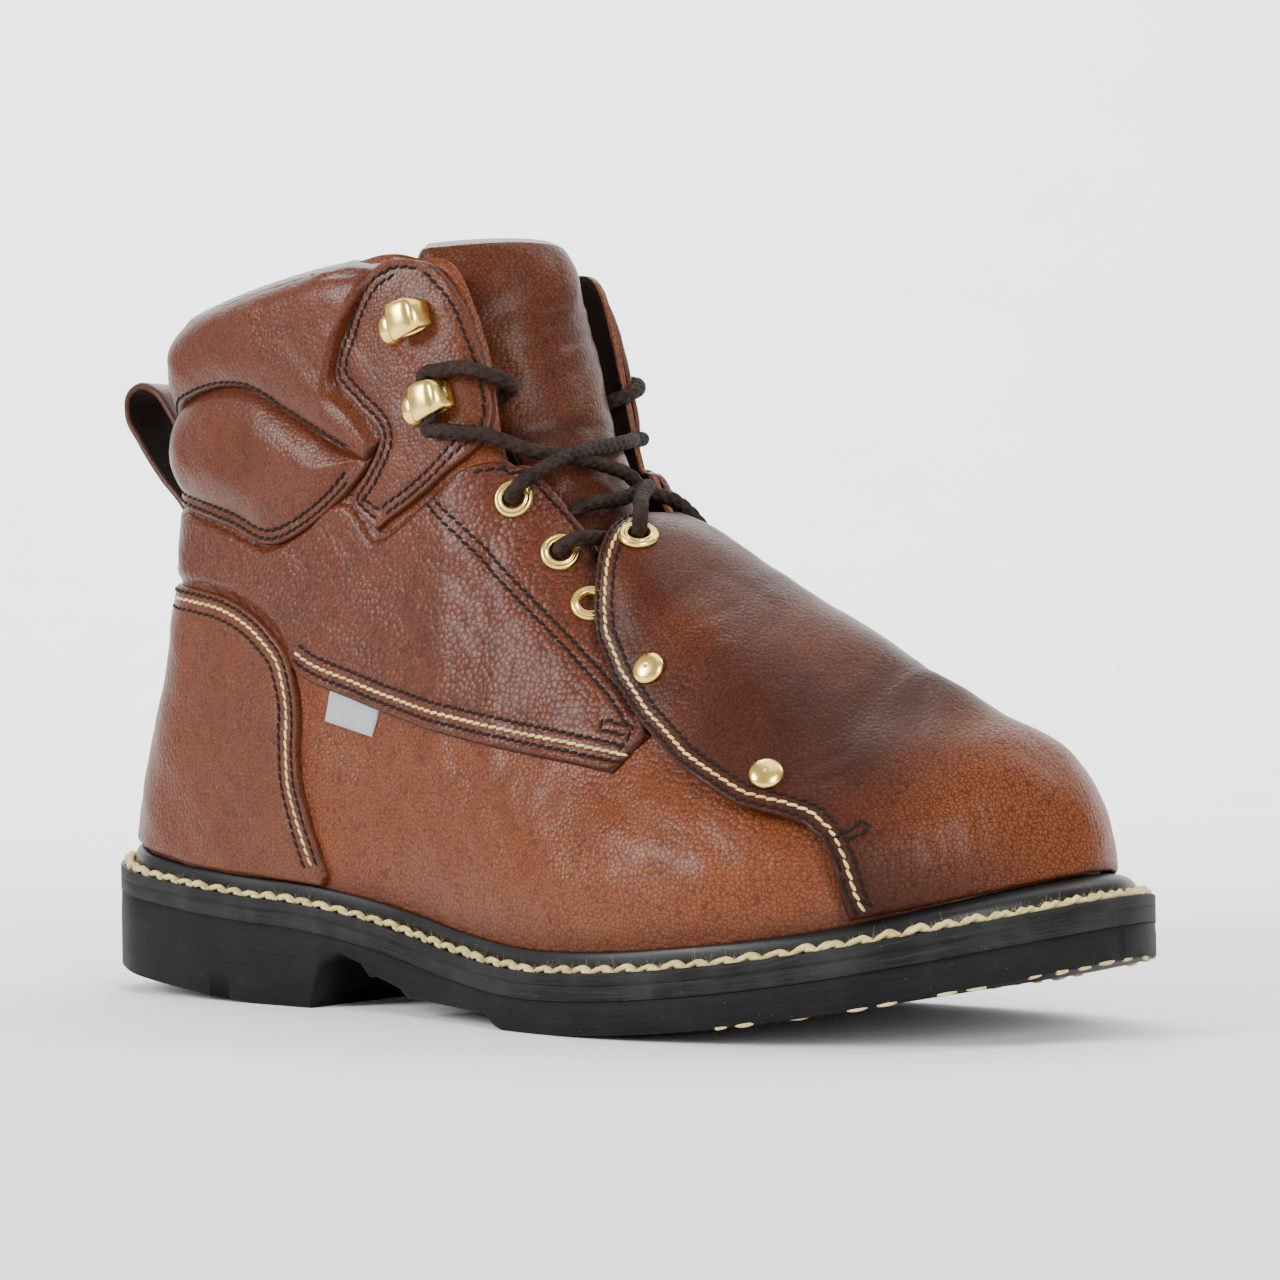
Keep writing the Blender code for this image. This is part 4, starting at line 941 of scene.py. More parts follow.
def make_stage():
    """Pale floor that sweeps up behind the boot, and soft lights."""
    bend = [(FLOOR_FAR + SWEEP_RADIUS * math.sin(a), SWEEP_RADIUS - SWEEP_RADIUS * math.cos(a))
            for a in np.linspace(0.1, math.pi / 2, 14)]
    sweep = [(FLOOR_NEAR, 0.0), (FLOOR_FAR, 0.0), *bend, (FLOOR_FAR + SWEEP_RADIUS, BACK_TOP)]
    ahead = -np.array(CAMERA_BACK[:2]) / np.linalg.norm(CAMERA_BACK[:2])
    beside = np.array((ahead[1], -ahead[0]))
    points = [(*(ahead * far + beside * wide), z) for far, z in sweep for wide in (-FLOOR_HALF, FLOOR_HALF)]
    mesh = bpy.data.meshes.new("floor")
    faces = [(2 * i, 2 * i + 1, 2 * i + 3, 2 * i + 2) for i in range(len(sweep) - 1)]
    mesh.from_pydata(points, [], faces)
    mesh.shade_smooth()
    paper, tree, shader = look("paper", roughness=0.9, specular_ior_level=0.1)
    grit = noise(tree, node(tree, "TexCoord").outputs["Object"], 60.0)
    tone = blend(tree, ramp(tree, grit, 0.3, 0.7), (0.93, 0.93, 0.93), (0.95, 0.95, 0.95))
    tree.links.new(tone, shader.inputs["Base Color"])
    mesh.materials.append(paper)
    floor = bpy.data.objects.new("floor", mesh)
    bpy.context.scene.collection.objects.link(floor)
    world = bpy.data.worlds.new("studio")
    world.use_nodes = True
    sky = world.node_tree.nodes["Background"]
    sky.inputs["Color"].default_value = (1, 1, 1, 1)
    sky.inputs["Strength"].default_value = WORLD_LIGHT
    bpy.context.scene.world = world
    for name, place, target, size, power in LIGHTS:
        data = bpy.data.lights.new(name, "AREA")
        data.shape = "RECTANGLE"
        data.size, data.size_y = size
        data.energy = power
        lamp = bpy.data.objects.new(name, data)
        spot = Vector(place)
        aim = (Vector(target) - spot).to_track_quat("-Z", "Y")
        lamp.matrix_world = Matrix.Translation(spot) @ aim.to_matrix().to_4x4()
        bpy.context.scene.collection.objects.link(lamp)


LIGHTS = [
    # name, place in metres, what it shines at, size, watts
    ("left", (-0.75, -1.45, 0.85), (0, 0, 0.08), (0.5, 0.8), 36.0),
    ("right", (1.45, -0.75, 0.65), (0, 0, 0.08), (0.5, 0.9), 24.0),
    ("top", (0.1, 0.25, 1.7), (0, 0, 0.08), (1.6, 1.2), 12.0),
    ("paper_left", (-0.9, 0.5, 1.5), (-1.3, 1.6, 0.3), (1.0, 0.6), 34.0),
    ("paper_right", (0.9, 1.2, 1.5), (0.1, 2.2, 0.3), (1.0, 0.6), 34.0),
]

# Upper
surfaces = {}


def keep_surface(name, points, faces):
    """Remember a piece's outer face, so that stitches and fittings can lie on it."""
    surfaces[name] = BVHTree.FromPolygons(np.asarray(points, float).tolist(), [list(f) for f in faces])


def spaced(length):
    """Places along a length in millimetres, closer together at rounded ends."""
    inside = np.linspace(ROLL_COLUMNS[-1], length - ROLL_COLUMNS[-1], max(4, round(length / STEP)))
    return np.concatenate([ROLL_COLUMNS[:-1], inside, length - np.array(ROLL_COLUMNS[:-1])[::-1]])


def make_upper():
    stations = stations_round(34, 1.7, 36)
    stations = np.concatenate([-stations[:0:-1], stations])
    levels = np.linspace(0, 1, 74)
    s, l = np.meshgrid(stations, levels, indexing="ij")
    base, normal = BODY.at(s, l)
    lift = VAMP_LIFT * ease(0.03, 0.12, l) * (1 - ease(0.93, 1.0, l))
    flat = base.reshape(-1, 3)
    detail = ripple(flat) + folds(BODY, flat, VAMP_FOLDS)
    outer = base + normal * (lift + detail.reshape(s.shape) * ease(0.05, 0.15, l))[..., None]
    inner = base - normal * WALL
    faces, _ = sheet_faces(*s.shape)
    points = np.concatenate([outer.reshape(-1, 3), inner.reshape(-1, 3)])
    count = len(quads(*s.shape))
    # Painted shade: the upper's outside is darkened in a band at the height of the welt's bead
    foot = bell(flat[:, 2] - stack_top(flat[:, 0]), BEAD_HEIGHT, 5.0)
    dark = np.concatenate([0.5 * foot, np.zeros(len(flat))])
    warm = np.concatenate([0.35 * ease(60, 30, flat[:, 2]), np.zeros(len(flat))])
    points, kept, marks, places = weld(points, faces, {"dark": dark, "warm": warm})
    inside = (places >= count) & (places < 2 * count)
    piece("boot_upper", points, kept, [VAMP, NAP], "vamp_leather", ["upper"], marks, inside.astype(int))


VAMP_FOLDS = [
    # stations and heights along the fold, depth, width
    ([(196, 58), (214, 50), (232, 45)], 0.35, 3.2),
    ([(188, 50), (206, 40), (226, 34)], 0.3, 3.6),
    ([(176, 40), (196, 30), (214, 27)], 0.22, 3.4),
]


def panel(name, low, high, slot, node_name, used, side=1, thick=PANEL, grow=(0.0, 0.0), swell=None,
          extra=None, dark=0.5, tone=0.0):
    """Leather panel with rounded edges, lying on the wall between two edges; grow widens it past them."""
    share = np.linspace(0, 1, 400)
    low, high = along(low, share), along(high, share)
    low = BODY.offset(low, -grow[0])
    high = BODY.offset(high, grow[1](np.abs(high[:, 0])) if callable(grow[1]) else grow[1])
    if side < 0:
        low, high = low * (-1, 1), high * (-1, 1)
    middle = (low + high) / 2
    length = chord(BODY.spot(middle[:, 0], middle[:, 1])[0])[-1]
    rows = spaced(length)
    edge_a, edge_b = (sample(rows / length, share, curve)[:, None] for curve in (low, high))
    span = np.linspace(0, 1, 12)[None, :, None]
    probe = edge_a * (1 - span) + edge_b * span
    width = np.linalg.norm(np.diff(BODY.spot(probe[..., 0], probe[..., 1])[0], axis=1), axis=2).sum(1)
    count = len(spaced(width.max()))
    columns = np.stack([spaced_to(w, count) for w in width])
    part = (columns / width[:, None])[..., None]
    grid = edge_a * (1 - part) + edge_b * part
    base, normal = BODY.spot(grid[..., 0], grid[..., 1])
    from_high = width[:, None] - columns
    from_end = np.broadcast_to(np.minimum(rows, length - rows)[:, None], columns.shape)
    edge = np.minimum(np.minimum(columns, from_high), from_end)
    flat = base.reshape(-1, 3)
    height = thick + ripple(flat).reshape(edge.shape) * 0.6
    if swell is not None:
        height = height + swell(columns, from_high, from_end, grid)
    if extra is not None:
        height = height + extra(flat).reshape(edge.shape)
    outer = base + normal * (PANEL_LIFT + height * roll(edge))[..., None]
    inner = base + normal * (PANEL_LIFT - 0.2)
    faces, _ = sheet_faces(*edge.shape)
    if side < 0:
        faces = faces[:, ::-1]
    keep_surface(node_name, outer.reshape(-1, 3), quads(*edge.shape, flip=side < 0))
    points = np.concatenate([outer.reshape(-1, 3), inner.reshape(-1, 3)])
    # Edges darken towards dark; tone darkens the whole panel, painted shade where it is set
    shade = tone + (dark - tone) * bell(edge, 0, 1.1).ravel()
    marks = {"dark": np.concatenate([shade, shade]), "warm": np.zeros(2 * len(flat))}
    points, kept, marks, _ = weld(points, faces, marks)
    return piece(name, points, kept, used, slot, [node_name], marks)


def spaced_to(length, count):
    """A fixed number of places along a length, closer together at its ends."""
    places = np.array(ROLL_COLUMNS) * min(1.0, length / (4 * ROLL_COLUMNS[-1]))
    tip, last = places[:-1], places[-1]
    inside = np.linspace(last, length - last, count - 2 * len(tip))
    return np.concatenate([tip, inside, length - tip[::-1]])


def bead_line(q):
    x, _, dx, _ = rib_frame(q, -1)
    return float(stack_top(x + dx * reach(q, -1))) + BEAD_HEIGHT + PANEL_FOOT


def pad_swell(flange, rise, size):
    """Padding that starts inside a flat sewn flange along the lower edge and passes under the collar."""
    def height(low, high, end, grid):
        inside = np.minimum(np.maximum(low - flange, 0), np.minimum(np.maximum(high - 2.6, 0), end))
        puff = size * np.sin(np.pi / 2 * np.clip(inside / rise, 0, 1)) ** 0.75
        return puff - 1.4 * (1 - ease(1.4, 3.4, high))
    return height


def collar_swell(low, high, end, grid):
    """Padding of the collar, rolled inwards at its top edge and sunk beside the stay."""
    station = np.abs(grid[..., 0])
    body = np.sin(np.pi / 2 * np.clip(low / 11.0, 0, 1)) ** 0.8
    top = np.sin(np.pi / 2 * np.clip(high / 12.0, 0, 1))
    size = COLLAR_PUFF * (0.15 + 0.85 * ease(6, 45, station))
    front = ease(96, 101, station) * (1 - ease(1.6, 5.0, high))
    return size * body * top - 2.4 * (1 - roll(high, 9.0)) * (1 - ease(92, 99, station)) - 1.5 * front


def under_shaft(station):
    """How far the quarter goes on under the pad and the stay; its free edge at the throat stays."""
    return 2.2 * (1 - ease(134, 144, station))


def tucked(low, high, end, grid):
    """The quarter sinks where it passes under the counter, the pad and the stay."""
    station = np.abs(grid[..., 0])
    foot = (1 - ease(80, 90, station)) * (1 - ease(3.0, 7.0, low))
    head = (1 - ease(134, 144, station)) * (1 - ease(1.6, 4.2, high))
    return -1.7 * np.maximum(foot, head)


def heel_curve(low, high, end, grid):
    """Rounder back of the heel."""
    return 2.4 * bell(grid[..., 1], 64, 24) * (1 - ease(12, 52, np.abs(grid[..., 0])))


def make_panels():
    foot = [(q, bead_line(q)) for q in COUNTER_FOOT]
    # tone=0.3 darkens the whole counter: painted shade
    panel("heel_counter", both_ways(foot), both_ways(COUNTER_TOP), "vamp_leather", "counter", VAMP,
          grow=(0.0, 0.6), swell=heel_curve, tone=0.3, extra=seam_troughs("counter"))
    collar = panel("padded_collar", both_ways(COLLAR_LOW), both_ways(COLLAR_HIGH), "shaft_leather", "collar",
                   SOFT, grow=(0.75, 0.0), swell=collar_swell, extra=seam_troughs("collar"))
    for side, word in SIDES:
        owner = f"quarter_{word}"
        panel(f"quarter_panel_{word}", QUARTER_LOW, QUARTER_HIGH, "shaft_leather", owner, QUARTER, side,
              grow=(0.0, under_shaft), swell=tucked, extra=detail(owner, QUARTER_FOLDS, side))
        owner = f"ankle_pad_{word}"
        pad = panel(f"padded_ankle_{word}", PAD_LOW, PAD_HIGH, "shaft_leather", owner, SOFT, side,
                    grow=(0.75, 2.4), swell=pad_swell(4.6, 11.0, PAD_PUFF), extra=seam_troughs(owner))
        owner = f"hook_stay_{word}"
        panel(f"stay_{word}", STAY_BACK, STAY_FRONT, "shaft_leather", owner, SOFT, side,
              grow=(0.7, 0.0), extra=seam_troughs(owner))
    panel("side_tag", TAG_LOW, TAG_HIGH, "tag", "tag", TAG, thick=0.7, dark=0.0)


QUARTER_FOLDS = [
    # stations and heights along the fold, depth, width
    ([(112, 120), (128, 110), (146, 96)], 0.28, 3.6),
    ([(100, 116), (116, 106), (136, 92)], 0.24, 3.8),
    ([(132, 118), (146, 106), (160, 92)], 0.24, 3.2),
    ([(90, 108), (108, 97), (128, 86)], 0.2, 3.8),
]


def detail(node_name, table, side):
    """Stitch troughs and folds of a piece."""
    troughs = seam_troughs(node_name)
    table = [([(side * q, z) for q, z in line], depth, width) for line, depth, width in table]
    return lambda points: troughs(points) + folds(BODY, points, table)


# Stitch rows
def guard_border():
    """Free edge of the guard from the ridge round its back corner and down to the welt, lateral side."""
    turn = np.linspace(0.5, 1, 24)
    back = [guard_grid(np.array(0.0), np.array(-t)) for t in turn]
    side = [guard_grid(np.array(r), np.array(-1.0)) for r in np.linspace(0.01, 0.645, 60)]
    return np.array([(float(s), float(GUARD.at(s, level)[0][..., 2])) for s, level in back + side])


def guard_grid(r, t):
    """Signed station and level on the guard; r runs from back to toe, t from lateral to medial edge."""
    edge = np.array(GUARD_EDGE)
    start = GUARD_BACK + GUARD_CORNER * np.abs(t) ** 8
    q = start + r * (LENGTH - start)
    s = np.where(t <= 0, q, -q)
    x, _, dx, _ = rib_frame(q, -1)
    floor = stack_top(x + dx * reach(q, np.where(t <= 0, -1, 1)))
    z = np.maximum(np.interp(q, edge[:, 0], edge[:, 1], right=0.0), floor + BEAD_HEIGHT + PANEL_FOOT)
    low = GUARD.level(s, z)
    return s, low + (1 - low) * (1 - np.abs(t))


def row_lines():
    """Rows of stitches as node, thread, a curve of stations and heights, and the skin it is on."""
    rows = []
    for side, word in SIDES:
        for owner, line, span, insets in STITCH_ROWS:
            skin = GUARD if owner == "met_guard" else BODY
            if span is not None:
                line = along(line, np.linspace(*span, 200))
            for inset, colour in insets:
                rows.append((owner.format(word), colour, skin.offset(line, inset) * (side, 1), skin))
    return rows


EYESTAY_ROW = [(128, 135), (149.5, 116.6), (164.5, 102.7), (180.5, 89), (196, 77.2), (202.4, 71.8)]
STAY_TOP = [(117.5, 187.0), (121, 188.2), (125.5, 188.0), (129.5, 186.4)]
QUARTER_BOX = [(200.0, 68.9), (196.2, 69.9), (192.4, 70.9), (191.9, 71.6), (192.3, 72.4), (193.2, 72.6),
               (197.4, 71.6), (201.6, 70.5), (201.4, 69.0), (200.6, 67.2), (199.4, 65.3)]
BARTACK = [(259.4, 47.4), (261.6, 48.8), (263.8, 50.9), (264.6, 49.6), (263.2, 47.8), (260.8, 47)]
QUARTER_CORNER = (201.3, 60.4)
STITCH_ROWS = [
    # piece, edge, shares of the edge where the row starts and ends, insets and threads
    ("counter", COUNTER_TOP, (0, 0.985), [(-1.0, "dark"), (-3.0, "cream"), (-5.6, "dark")]),
    ("quarter_{}", QUARTER_LOW[3:] + [QUARTER_CORNER], (0.085, 1),
     [(2.6, "dark"), (4.7, "cream"), (7.0, "dark")]),
    ("quarter_{}", EYESTAY_ROW, (0, 1), [(0.0, "dark"), (-2.4, "dark")]),
    ("quarter_{}", QUARTER_HIGH[9:16], (0, 1), [(-2.0, "dark")]),
    ("quarter_{}", QUARTER_BOX, (0, 1), [(0.0, "dark")]),
    ("ankle_pad_{}", PAD_LOW, (0, 0.95), [(1.0, "dark"), (3.2, "dark")]),
    ("collar", COLLAR_LOW[1:], (0, 0.96), [(0.7, "dark")]),
    ("hook_stay_{}", STAY_BACK, (0.015, 0.985), [(1.6, "dark"), (3.8, "dark")]),
    ("hook_stay_{}", STAY_TOP, (0, 1), [(0.0, "dark")]),
    ("hook_stay_{}", STAY_FRONT[1:7], (0, 1), [(-2.6, "dark")]),
    ("hook_stay_{}", STAY_FRONT[6:], (0.02, 0.97), [(-1.8, "dark"), (-4.0, "dark")]),
    ("met_guard", guard_border(), None, [(1.2, "dark"), (3.1, "cream"), (5.1, "dark")]),
    ("met_guard", BARTACK, (0, 1), [(0.0, "dark")]),
]
ROWS = row_lines()
TROUGH = (0.28, 0.75)


def seam_troughs(node_name):
    """Shallow troughs that the stitches pull into a piece."""
    lines = [skin.spot(curve[:, 0], curve[:, 1])[0] for owner, _, curve, skin in ROWS if owner == node_name]
    finders = [Near(line) for line in lines]

    def height(points):
        out = np.zeros(len(points))
        for finder in finders:
            far, _ = finder(points)
            out -= TROUGH[0] * bell(far, 0, TROUGH[1])
        return out
    return height


def stitch_shape():
    """One stitch along X, as rings of points on the unit stitch, with its faces."""
    places = np.array((-1.0, -0.8, -0.35, 0.35, 0.8, 1.0))
    fat = np.array((0.25, 0.75, 1.0, 1.0, 0.75, 0.25))
    sink = np.array((-0.9, -0.35, 0.0, 0.0, -0.35, -0.9))
    turn = np.linspace(0, 2 * math.pi, 6, endpoint=False)
    points = [(x, f * math.cos(a), f * math.sin(a) + d) for x, f, d in zip(places, fat, sink) for a in turn]
    faces = []
    for i in range(len(places) - 1):
        for j in range(6):
            k = (j + 1) % 6
            faces.append((6 * i + j, 6 * i + k, 6 * i + 6 + k, 6 * i + 6 + j))
    for start in (0, 6 * (len(places) - 1)):
        faces.append((start, start + 1, start + 2, start + 3))
        faces.append((start, start + 3, start + 4, start + 5))
    return np.array(points), np.array(faces)


def make_stitches():
    shape, faces = stitch_shape()
    long, wide, tall = THREAD
    sets = {"dark": [], "cream": []}
    for owner, colour, curve, skin in ROWS:
        points, normals = skin.spot(curve[:, 0], curve[:, 1])
        t = chord(points)
        for far in (np.arange(int(t[-1] / STITCH_PITCH)) + 0.5) * STITCH_PITCH:
            ends = []
            for step in (-0.5, 0.5):
                p = sample(far + step, t, points)
                n = unit(sample(far + step, t, normals))
                hit = surfaces[owner].ray_cast(Vector(p + n * RAY_START), Vector(-n), STITCH_RAY)[0]
                ends.append((np.array(hit) if hit else None, n))
            if ends[0][0] is None or ends[1][0] is None:
                continue
            middle = (ends[0][0] + ends[1][0]) / 2
            n = unit(ends[0][1] + ends[1][1])
            tangent = unit(ends[1][0] - ends[0][0])
            tangent = unit(tangent + STITCH_SLANT * np.cross(n, tangent))
            beside = np.cross(n, tangent)
            out = middle + shape[:, :1] * long * tangent + shape[:, 1:2] * wide * beside
            sets[colour].append(out + (shape[:, 2:] * tall + STITCH_LIFT) * n)
    for colour, word, used, slot in (("dark", "dark", DARK, "lace"), ("cream", "light", CREAM, "welt")):
        every = np.concatenate(sets[colour])
        index = np.concatenate([faces + i * len(shape) for i in range(len(sets[colour]))])
        piece(f"stitches_{word}", every, index, used, slot)


# Guard over toe and instep
def make_guard():
    rows = np.concatenate([ROLL_COLUMNS, np.linspace(2.2, LENGTH - GUARD_BACK, 118)])
    rows = rows / rows[-1]
    half = 1 - np.concatenate([ROLL_COLUMNS, np.linspace(2.2, GUARD_GIRTH, 52)]) / GUARD_GIRTH
    r, t = np.meshgrid(rows, np.concatenate([-half, half[-2::-1]]), indexing="ij")
    base, _ = GUARD.at(*guard_grid(r, t))
    border = np.minimum((1 - np.abs(t)) * GUARD_GIRTH, r * (LENGTH - GUARD_BACK))
    points, kept, marks, _ = weld(base.reshape(-1, 3), quads(*t.shape), {"edge": border.ravel()})
    border = marks["edge"]
    # The ridge is evened out where the instep meets the toe
    x, y, z = points.T.copy()
    ahead = np.maximum(x - TOE_AXIS[0], 0)
    even = 1.4 * bell(x, 242, 9) - 0.24 * ahead * np.exp(-ahead / 12)
    points[:, 2] += even * ease(62, 80, z) * bell(y, centre_line(x), 26)
    near_axis = bell(x, 256, 11.0) * ease(60, 76, points[:, 2])
    points = relax(points, kept, ease(1.5, 9.0, border) * near_axis, 24)
    normals = point_normals(points, kept)
    height = ripple(points) * 0.6 + folds(GUARD, points, GUARD_FOLDS) + seam_troughs("met_guard")(points)
    drop = 0.5 * GUARD_WALL * (1 - roll(border))
    outer = points + normals * (height * roll(border) - drop)[:, None]
    inner = points - normals * (GUARD_WALL - drop)[:, None]
    keep_surface("met_guard", outer, kept)
    # Tones: a warm, lighter toe that is a painted highlight, painted shade low on the sides and in the bend,
    # and a painted highlight behind the upper rivet
    n = len(points)
    x, _, z = outer.T
    toe = ease(260, 287, x) * (1 - 0.6 * ease(72, 86, z))
    low = 0.75 * ease(232, 250, x) * (1 - ease(28, 58, z)) * (1 - ease(282, 300, x))
    bend = 0.5 * bell(x, 257, 15) * ease(48, 63, z)
    rivet_highlight = 0.4 * bell(x, 208, 9) * bell(z, 95, 8)
    dark = np.maximum.reduce([0.45 * bell(border, 0, 1.2), low, bend])
    marks = {"dark": np.concatenate([dark, np.full(n, 0.6)]),
             "warm": np.concatenate([np.clip(0.95 * toe + rivet_highlight, 0, 1), np.zeros(n)])}
    both = list_of_four(list(kept) + [[v + n for v in f[::-1]] for f in kept])
    every, faces, marks, places = weld(np.concatenate([outer, inner]), both, marks)
    inside = (places >= len(kept)).astype(int)
    piece("guard_cover", every, faces, [COVER, NAP], "guard_leather", ["met_guard"], marks, inside)


GUARD_FOLDS = [
    # stations and heights along the fold, depth, width
    ([(247, 60), (252, 64), (257, 67)], 0.16, 1.6),
    ([(248, 58), (255, 60), (262, 62)], 0.14, 1.6),
    ([(244, 86), (252, 82), (260, 77)], 0.12, 2.2),
    ([(276, 58), (280, 46), (281, 34)], 0.2, 1.4),
    ([(280, 62), (285, 50), (286, 38)], 0.2, 1.4),
    ([(272, 56), (275, 44), (276, 33)], 0.16, 1.4),
    ([(200, 112), (212, 106), (224, 99)], 0.16, 2.6),
    ([(206, 88), (214, 92), (222, 94)], 0.18, 1.8),
    ([(205, 90), (211, 97), (217, 101)], 0.16, 1.8),
]


# Tongue
def tongue_points(share, across, sink):
    """Points on the tongue's front face, or sunk behind it."""
    rows = np.array(TONGUE, float)
    t = np.linspace(0, 1, len(rows))
    x, z, half, fall = smooth(t, rows[:, :4], share).T
    front, rear = (smooth(t, rows[:, :2], np.clip(share + d, 0, 1)) for d in (0.01, -0.01))
    ahead = front - rear
    angle = across * TONGUE_WRAP
    tilt = (np.arctan2(ahead[:, 1], ahead[:, 0]) - math.pi / 2) * (1 - 0.95 * ease(0.80, 0.96, share))
    slope = unit(np.stack([half * np.cos(angle), fall * np.sin(angle)], 1))
    back = fall * (1 - np.cos(angle)) + sink * slope[:, 0]
    y = half * np.sin(angle) - sink * slope[:, 1]
    return np.stack([x - back * np.cos(tilt), centre_line(x) + y, z - back * np.sin(tilt)], 1)


def make_tongue():
    share = np.concatenate([np.linspace(0, 0.96, 110), np.linspace(0.97, 1.0, 9)])
    s, a = np.meshgrid(share, np.linspace(-1, 1, 57), indexing="ij")
    shape = s.shape
    thick = smooth(np.linspace(0, 1, len(TONGUE)), np.array(TONGUE)[:, 4], share)[:, None]
    thick = (thick * (1 - TONGUE_SIDE_LOSS * a * a)).ravel()
    s, a = s.ravel(), a.ravel()
    tip = roll((1 - s) * TONGUE_LONG, 5.0) * roll((1 - np.abs(a)) * TONGUE_HALF, 3.0)
    wave = ripple(tongue_points(s, a, 0 * s)) * 1.2
    for place, depth in TONGUE_FOLDS:
        wave -= depth * bell(s - 0.05 * (a - 0.2), place, 0.012) * bell(a, 0.05, 0.55)
    seam = -0.5 * bell(s, TONGUE_SEAM, 0.008)
    outer = tongue_points(s, a, 0.5 * thick * (1 - tip) - (wave + seam) * tip)
    inner = tongue_points(s, a, thick * (1 - 0.5 * (1 - tip)))
    faces, border = sheet_faces(*shape)
    n = len(quads(*shape))
    band = np.arange(n) // (shape[1] - 1) >= np.searchsorted(share, TONGUE_CLOTH_FROM)
    which = np.concatenate([band, np.ones(n + border)]).astype(int)
    dark = 0.5 * bell(s, TONGUE_SEAM, 0.012)
    marks = {"dark": np.concatenate([dark, dark]), "warm": np.full(2 * len(dark), 0.12)}
    made = piece("padded_tongue", np.concatenate([outer, inner]), faces[:, ::-1], [COVER, LINING],
                 "guard_leather", ["tongue"], marks, which)


LINING_PROFILE = [
    # off the wall, above its top edge
    (0.3, -1.6), (0.4, 0.2), (-0.2, 0.9), (-1.4, 1.3), (-3.0, 1.0), (-4.6, -0.4), (-5.6, -3.0), (-6.2, -9.0),
    (-6.0, -18.0), (-5.0, -28.0), (-2.6, -36.0), (-2.1, -36.0), (-2.1, -20.0), (-2.1, -6.0), (-1.4, -2.4),
]


def make_collar_lining():
    """Grey padded lining that shows along the top of the collar."""
    back = np.linspace(-43, 43, 70)
    stations = np.concatenate([np.arange(-118, -43, 1.6), back, np.arange(44.6, 119, 1.6)])
    top = BODY.at(stations, np.ones(len(stations)))[0][:, 2]
    columns = []
    sink = 2.2 * ease(104, 113, np.abs(stations))
    for off, above in LINING_PROFILE:
        point, normal = BODY.spot(stations, top + np.minimum(above - sink, 0.0))
        flat = unit(normal * (1, 1, 0))
        rise = np.maximum(above - sink, 0.0)[:, None] * np.array(UP)
        columns.append(point + flat * off + rise)
    rings = np.stack(columns, 1)
    made = piece("collar_lining", rings.reshape(-1, 3), tube_faces(*rings.shape[:2]), LINING, "insole")


def make_loop():
    """Back strap folded into a pull loop, with soft edges."""
    t = chord(LOOP)
    path = smooth(t, LOOP, np.linspace(0, t[-1], 120))
    ahead = unit(np.gradient(path, axis=0))
    beside = np.stack([-ahead[:, 1], ahead[:, 0]], 1)
    half = LOOP_WIDTH / 2
    rim = np.linspace(-1, 1, 15) * (half - LOOP_EDGE)
    profile = [(y, 0.5) for y in rim] + [(half, 0.0)] + [(y, -0.5) for y in rim[::-1]] + [(-half, 0.0)]
    rings = np.array([[(m[0] + w[0] * d * LOOP_THICK, y, m[1] + w[1] * d * LOOP_THICK) for y, d in profile]
                      for m, w in zip(path, beside)])
    faces = tube_faces(*rings.shape[:2])
    flat = rings.reshape(-1, 3)
    inner = np.tile([d < 0 for _, d in profile], len(path))
    rim_dark = 0.6 * (np.abs(flat[:, 1]) > half - 1.0)
    which = [int(inner[f[0]] and inner[f[2]]) for f in faces]
    piece("back_loop", flat, faces, [SOFT, NAP], "shaft_leather", ["pull_loop"],
          {"dark": rim_dark, "warm": np.zeros(len(flat))}, which)


# Sole
def once_round():
    """Stations and sides once round the boot."""
    q = stations_round(40, 1.6, 46)
    return np.concatenate([q, q[-2:0:-1]]), np.concatenate([-np.ones(len(q)), np.ones(len(q) - 2)])


def swept(profiles):
    """Points and faces of closed profiles that go once round; one row of points for each place."""
    rows, columns = profiles.shape[:2]
    index = np.arange(rows * columns).reshape(rows, columns)
    b = np.roll(index, -1, axis=0)
    faces = np.stack([index, np.roll(index, -1, 1), np.roll(b, -1, 1), b], -1).reshape(-1, 4)
    return profiles.reshape(-1, 3), faces


def make_welt():
    """Ledge with a stitch channel and a round bead against the upper."""
    q, side = once_round()
    x, y, dx, dy = rib_frame(q, side)
    out = reach(q, side)
    ledge = stack_top(x + dx * out)
    signed = np.where(side < 0, q, -q)
    arc = np.linspace(0, 1, 9)[:-1] * math.pi / 2
    profiles = []
    for i, rim in enumerate(out):
        wall = BODY.at(np.full(40, signed[i]), np.linspace(0, 0.3, 40))[0]
        radius = np.hypot(wall[:, 0] - x[i], wall[:, 1] - y[i])
        low = max(np.interp(ledge[i] + d, wall[:, 2], radius) for d in (-WELT_THICK, 0.0)) + WELT_CLEAR
        high = max(low, np.interp(ledge[i] + BEAD_HEIGHT, wall[:, 2], radius) + WELT_CLEAR)
        bead = rim - STITCH_LEDGE
        rows = [(low, -WELT_THICK), (low, 0.0)]
        rows += [(high + (bead - high) * np.sin(a) ** 0.9, BEAD_HEIGHT * np.cos(a) ** 0.75) for a in arc]
        rows += [(bead, -0.2), (bead + 0.5, -0.7), (rim - 1.3, -0.7), (rim - 0.7, -0.1), (rim - 0.25, 0.0)]
        rows += [(rim, -0.3), (rim, -1.0), (rim, -2.0), (rim, -WELT_THICK)]
        profiles.append([(x[i] + dx[i] * r, y[i] + dy[i] * r, ledge[i] + d) for r, d in rows])
    profiles = np.array(profiles)
    points, faces = swept(profiles)
    count = profiles.shape[1]
    cut_side = (np.arange(len(faces)) % count >= count - 5).astype(int)
    piece("welt_bead", points, faces[:, ::-1], [BEAD, MIDSOLE], "welt", ["welt"],
          {"run": run_marks(profiles)}, cut_side)


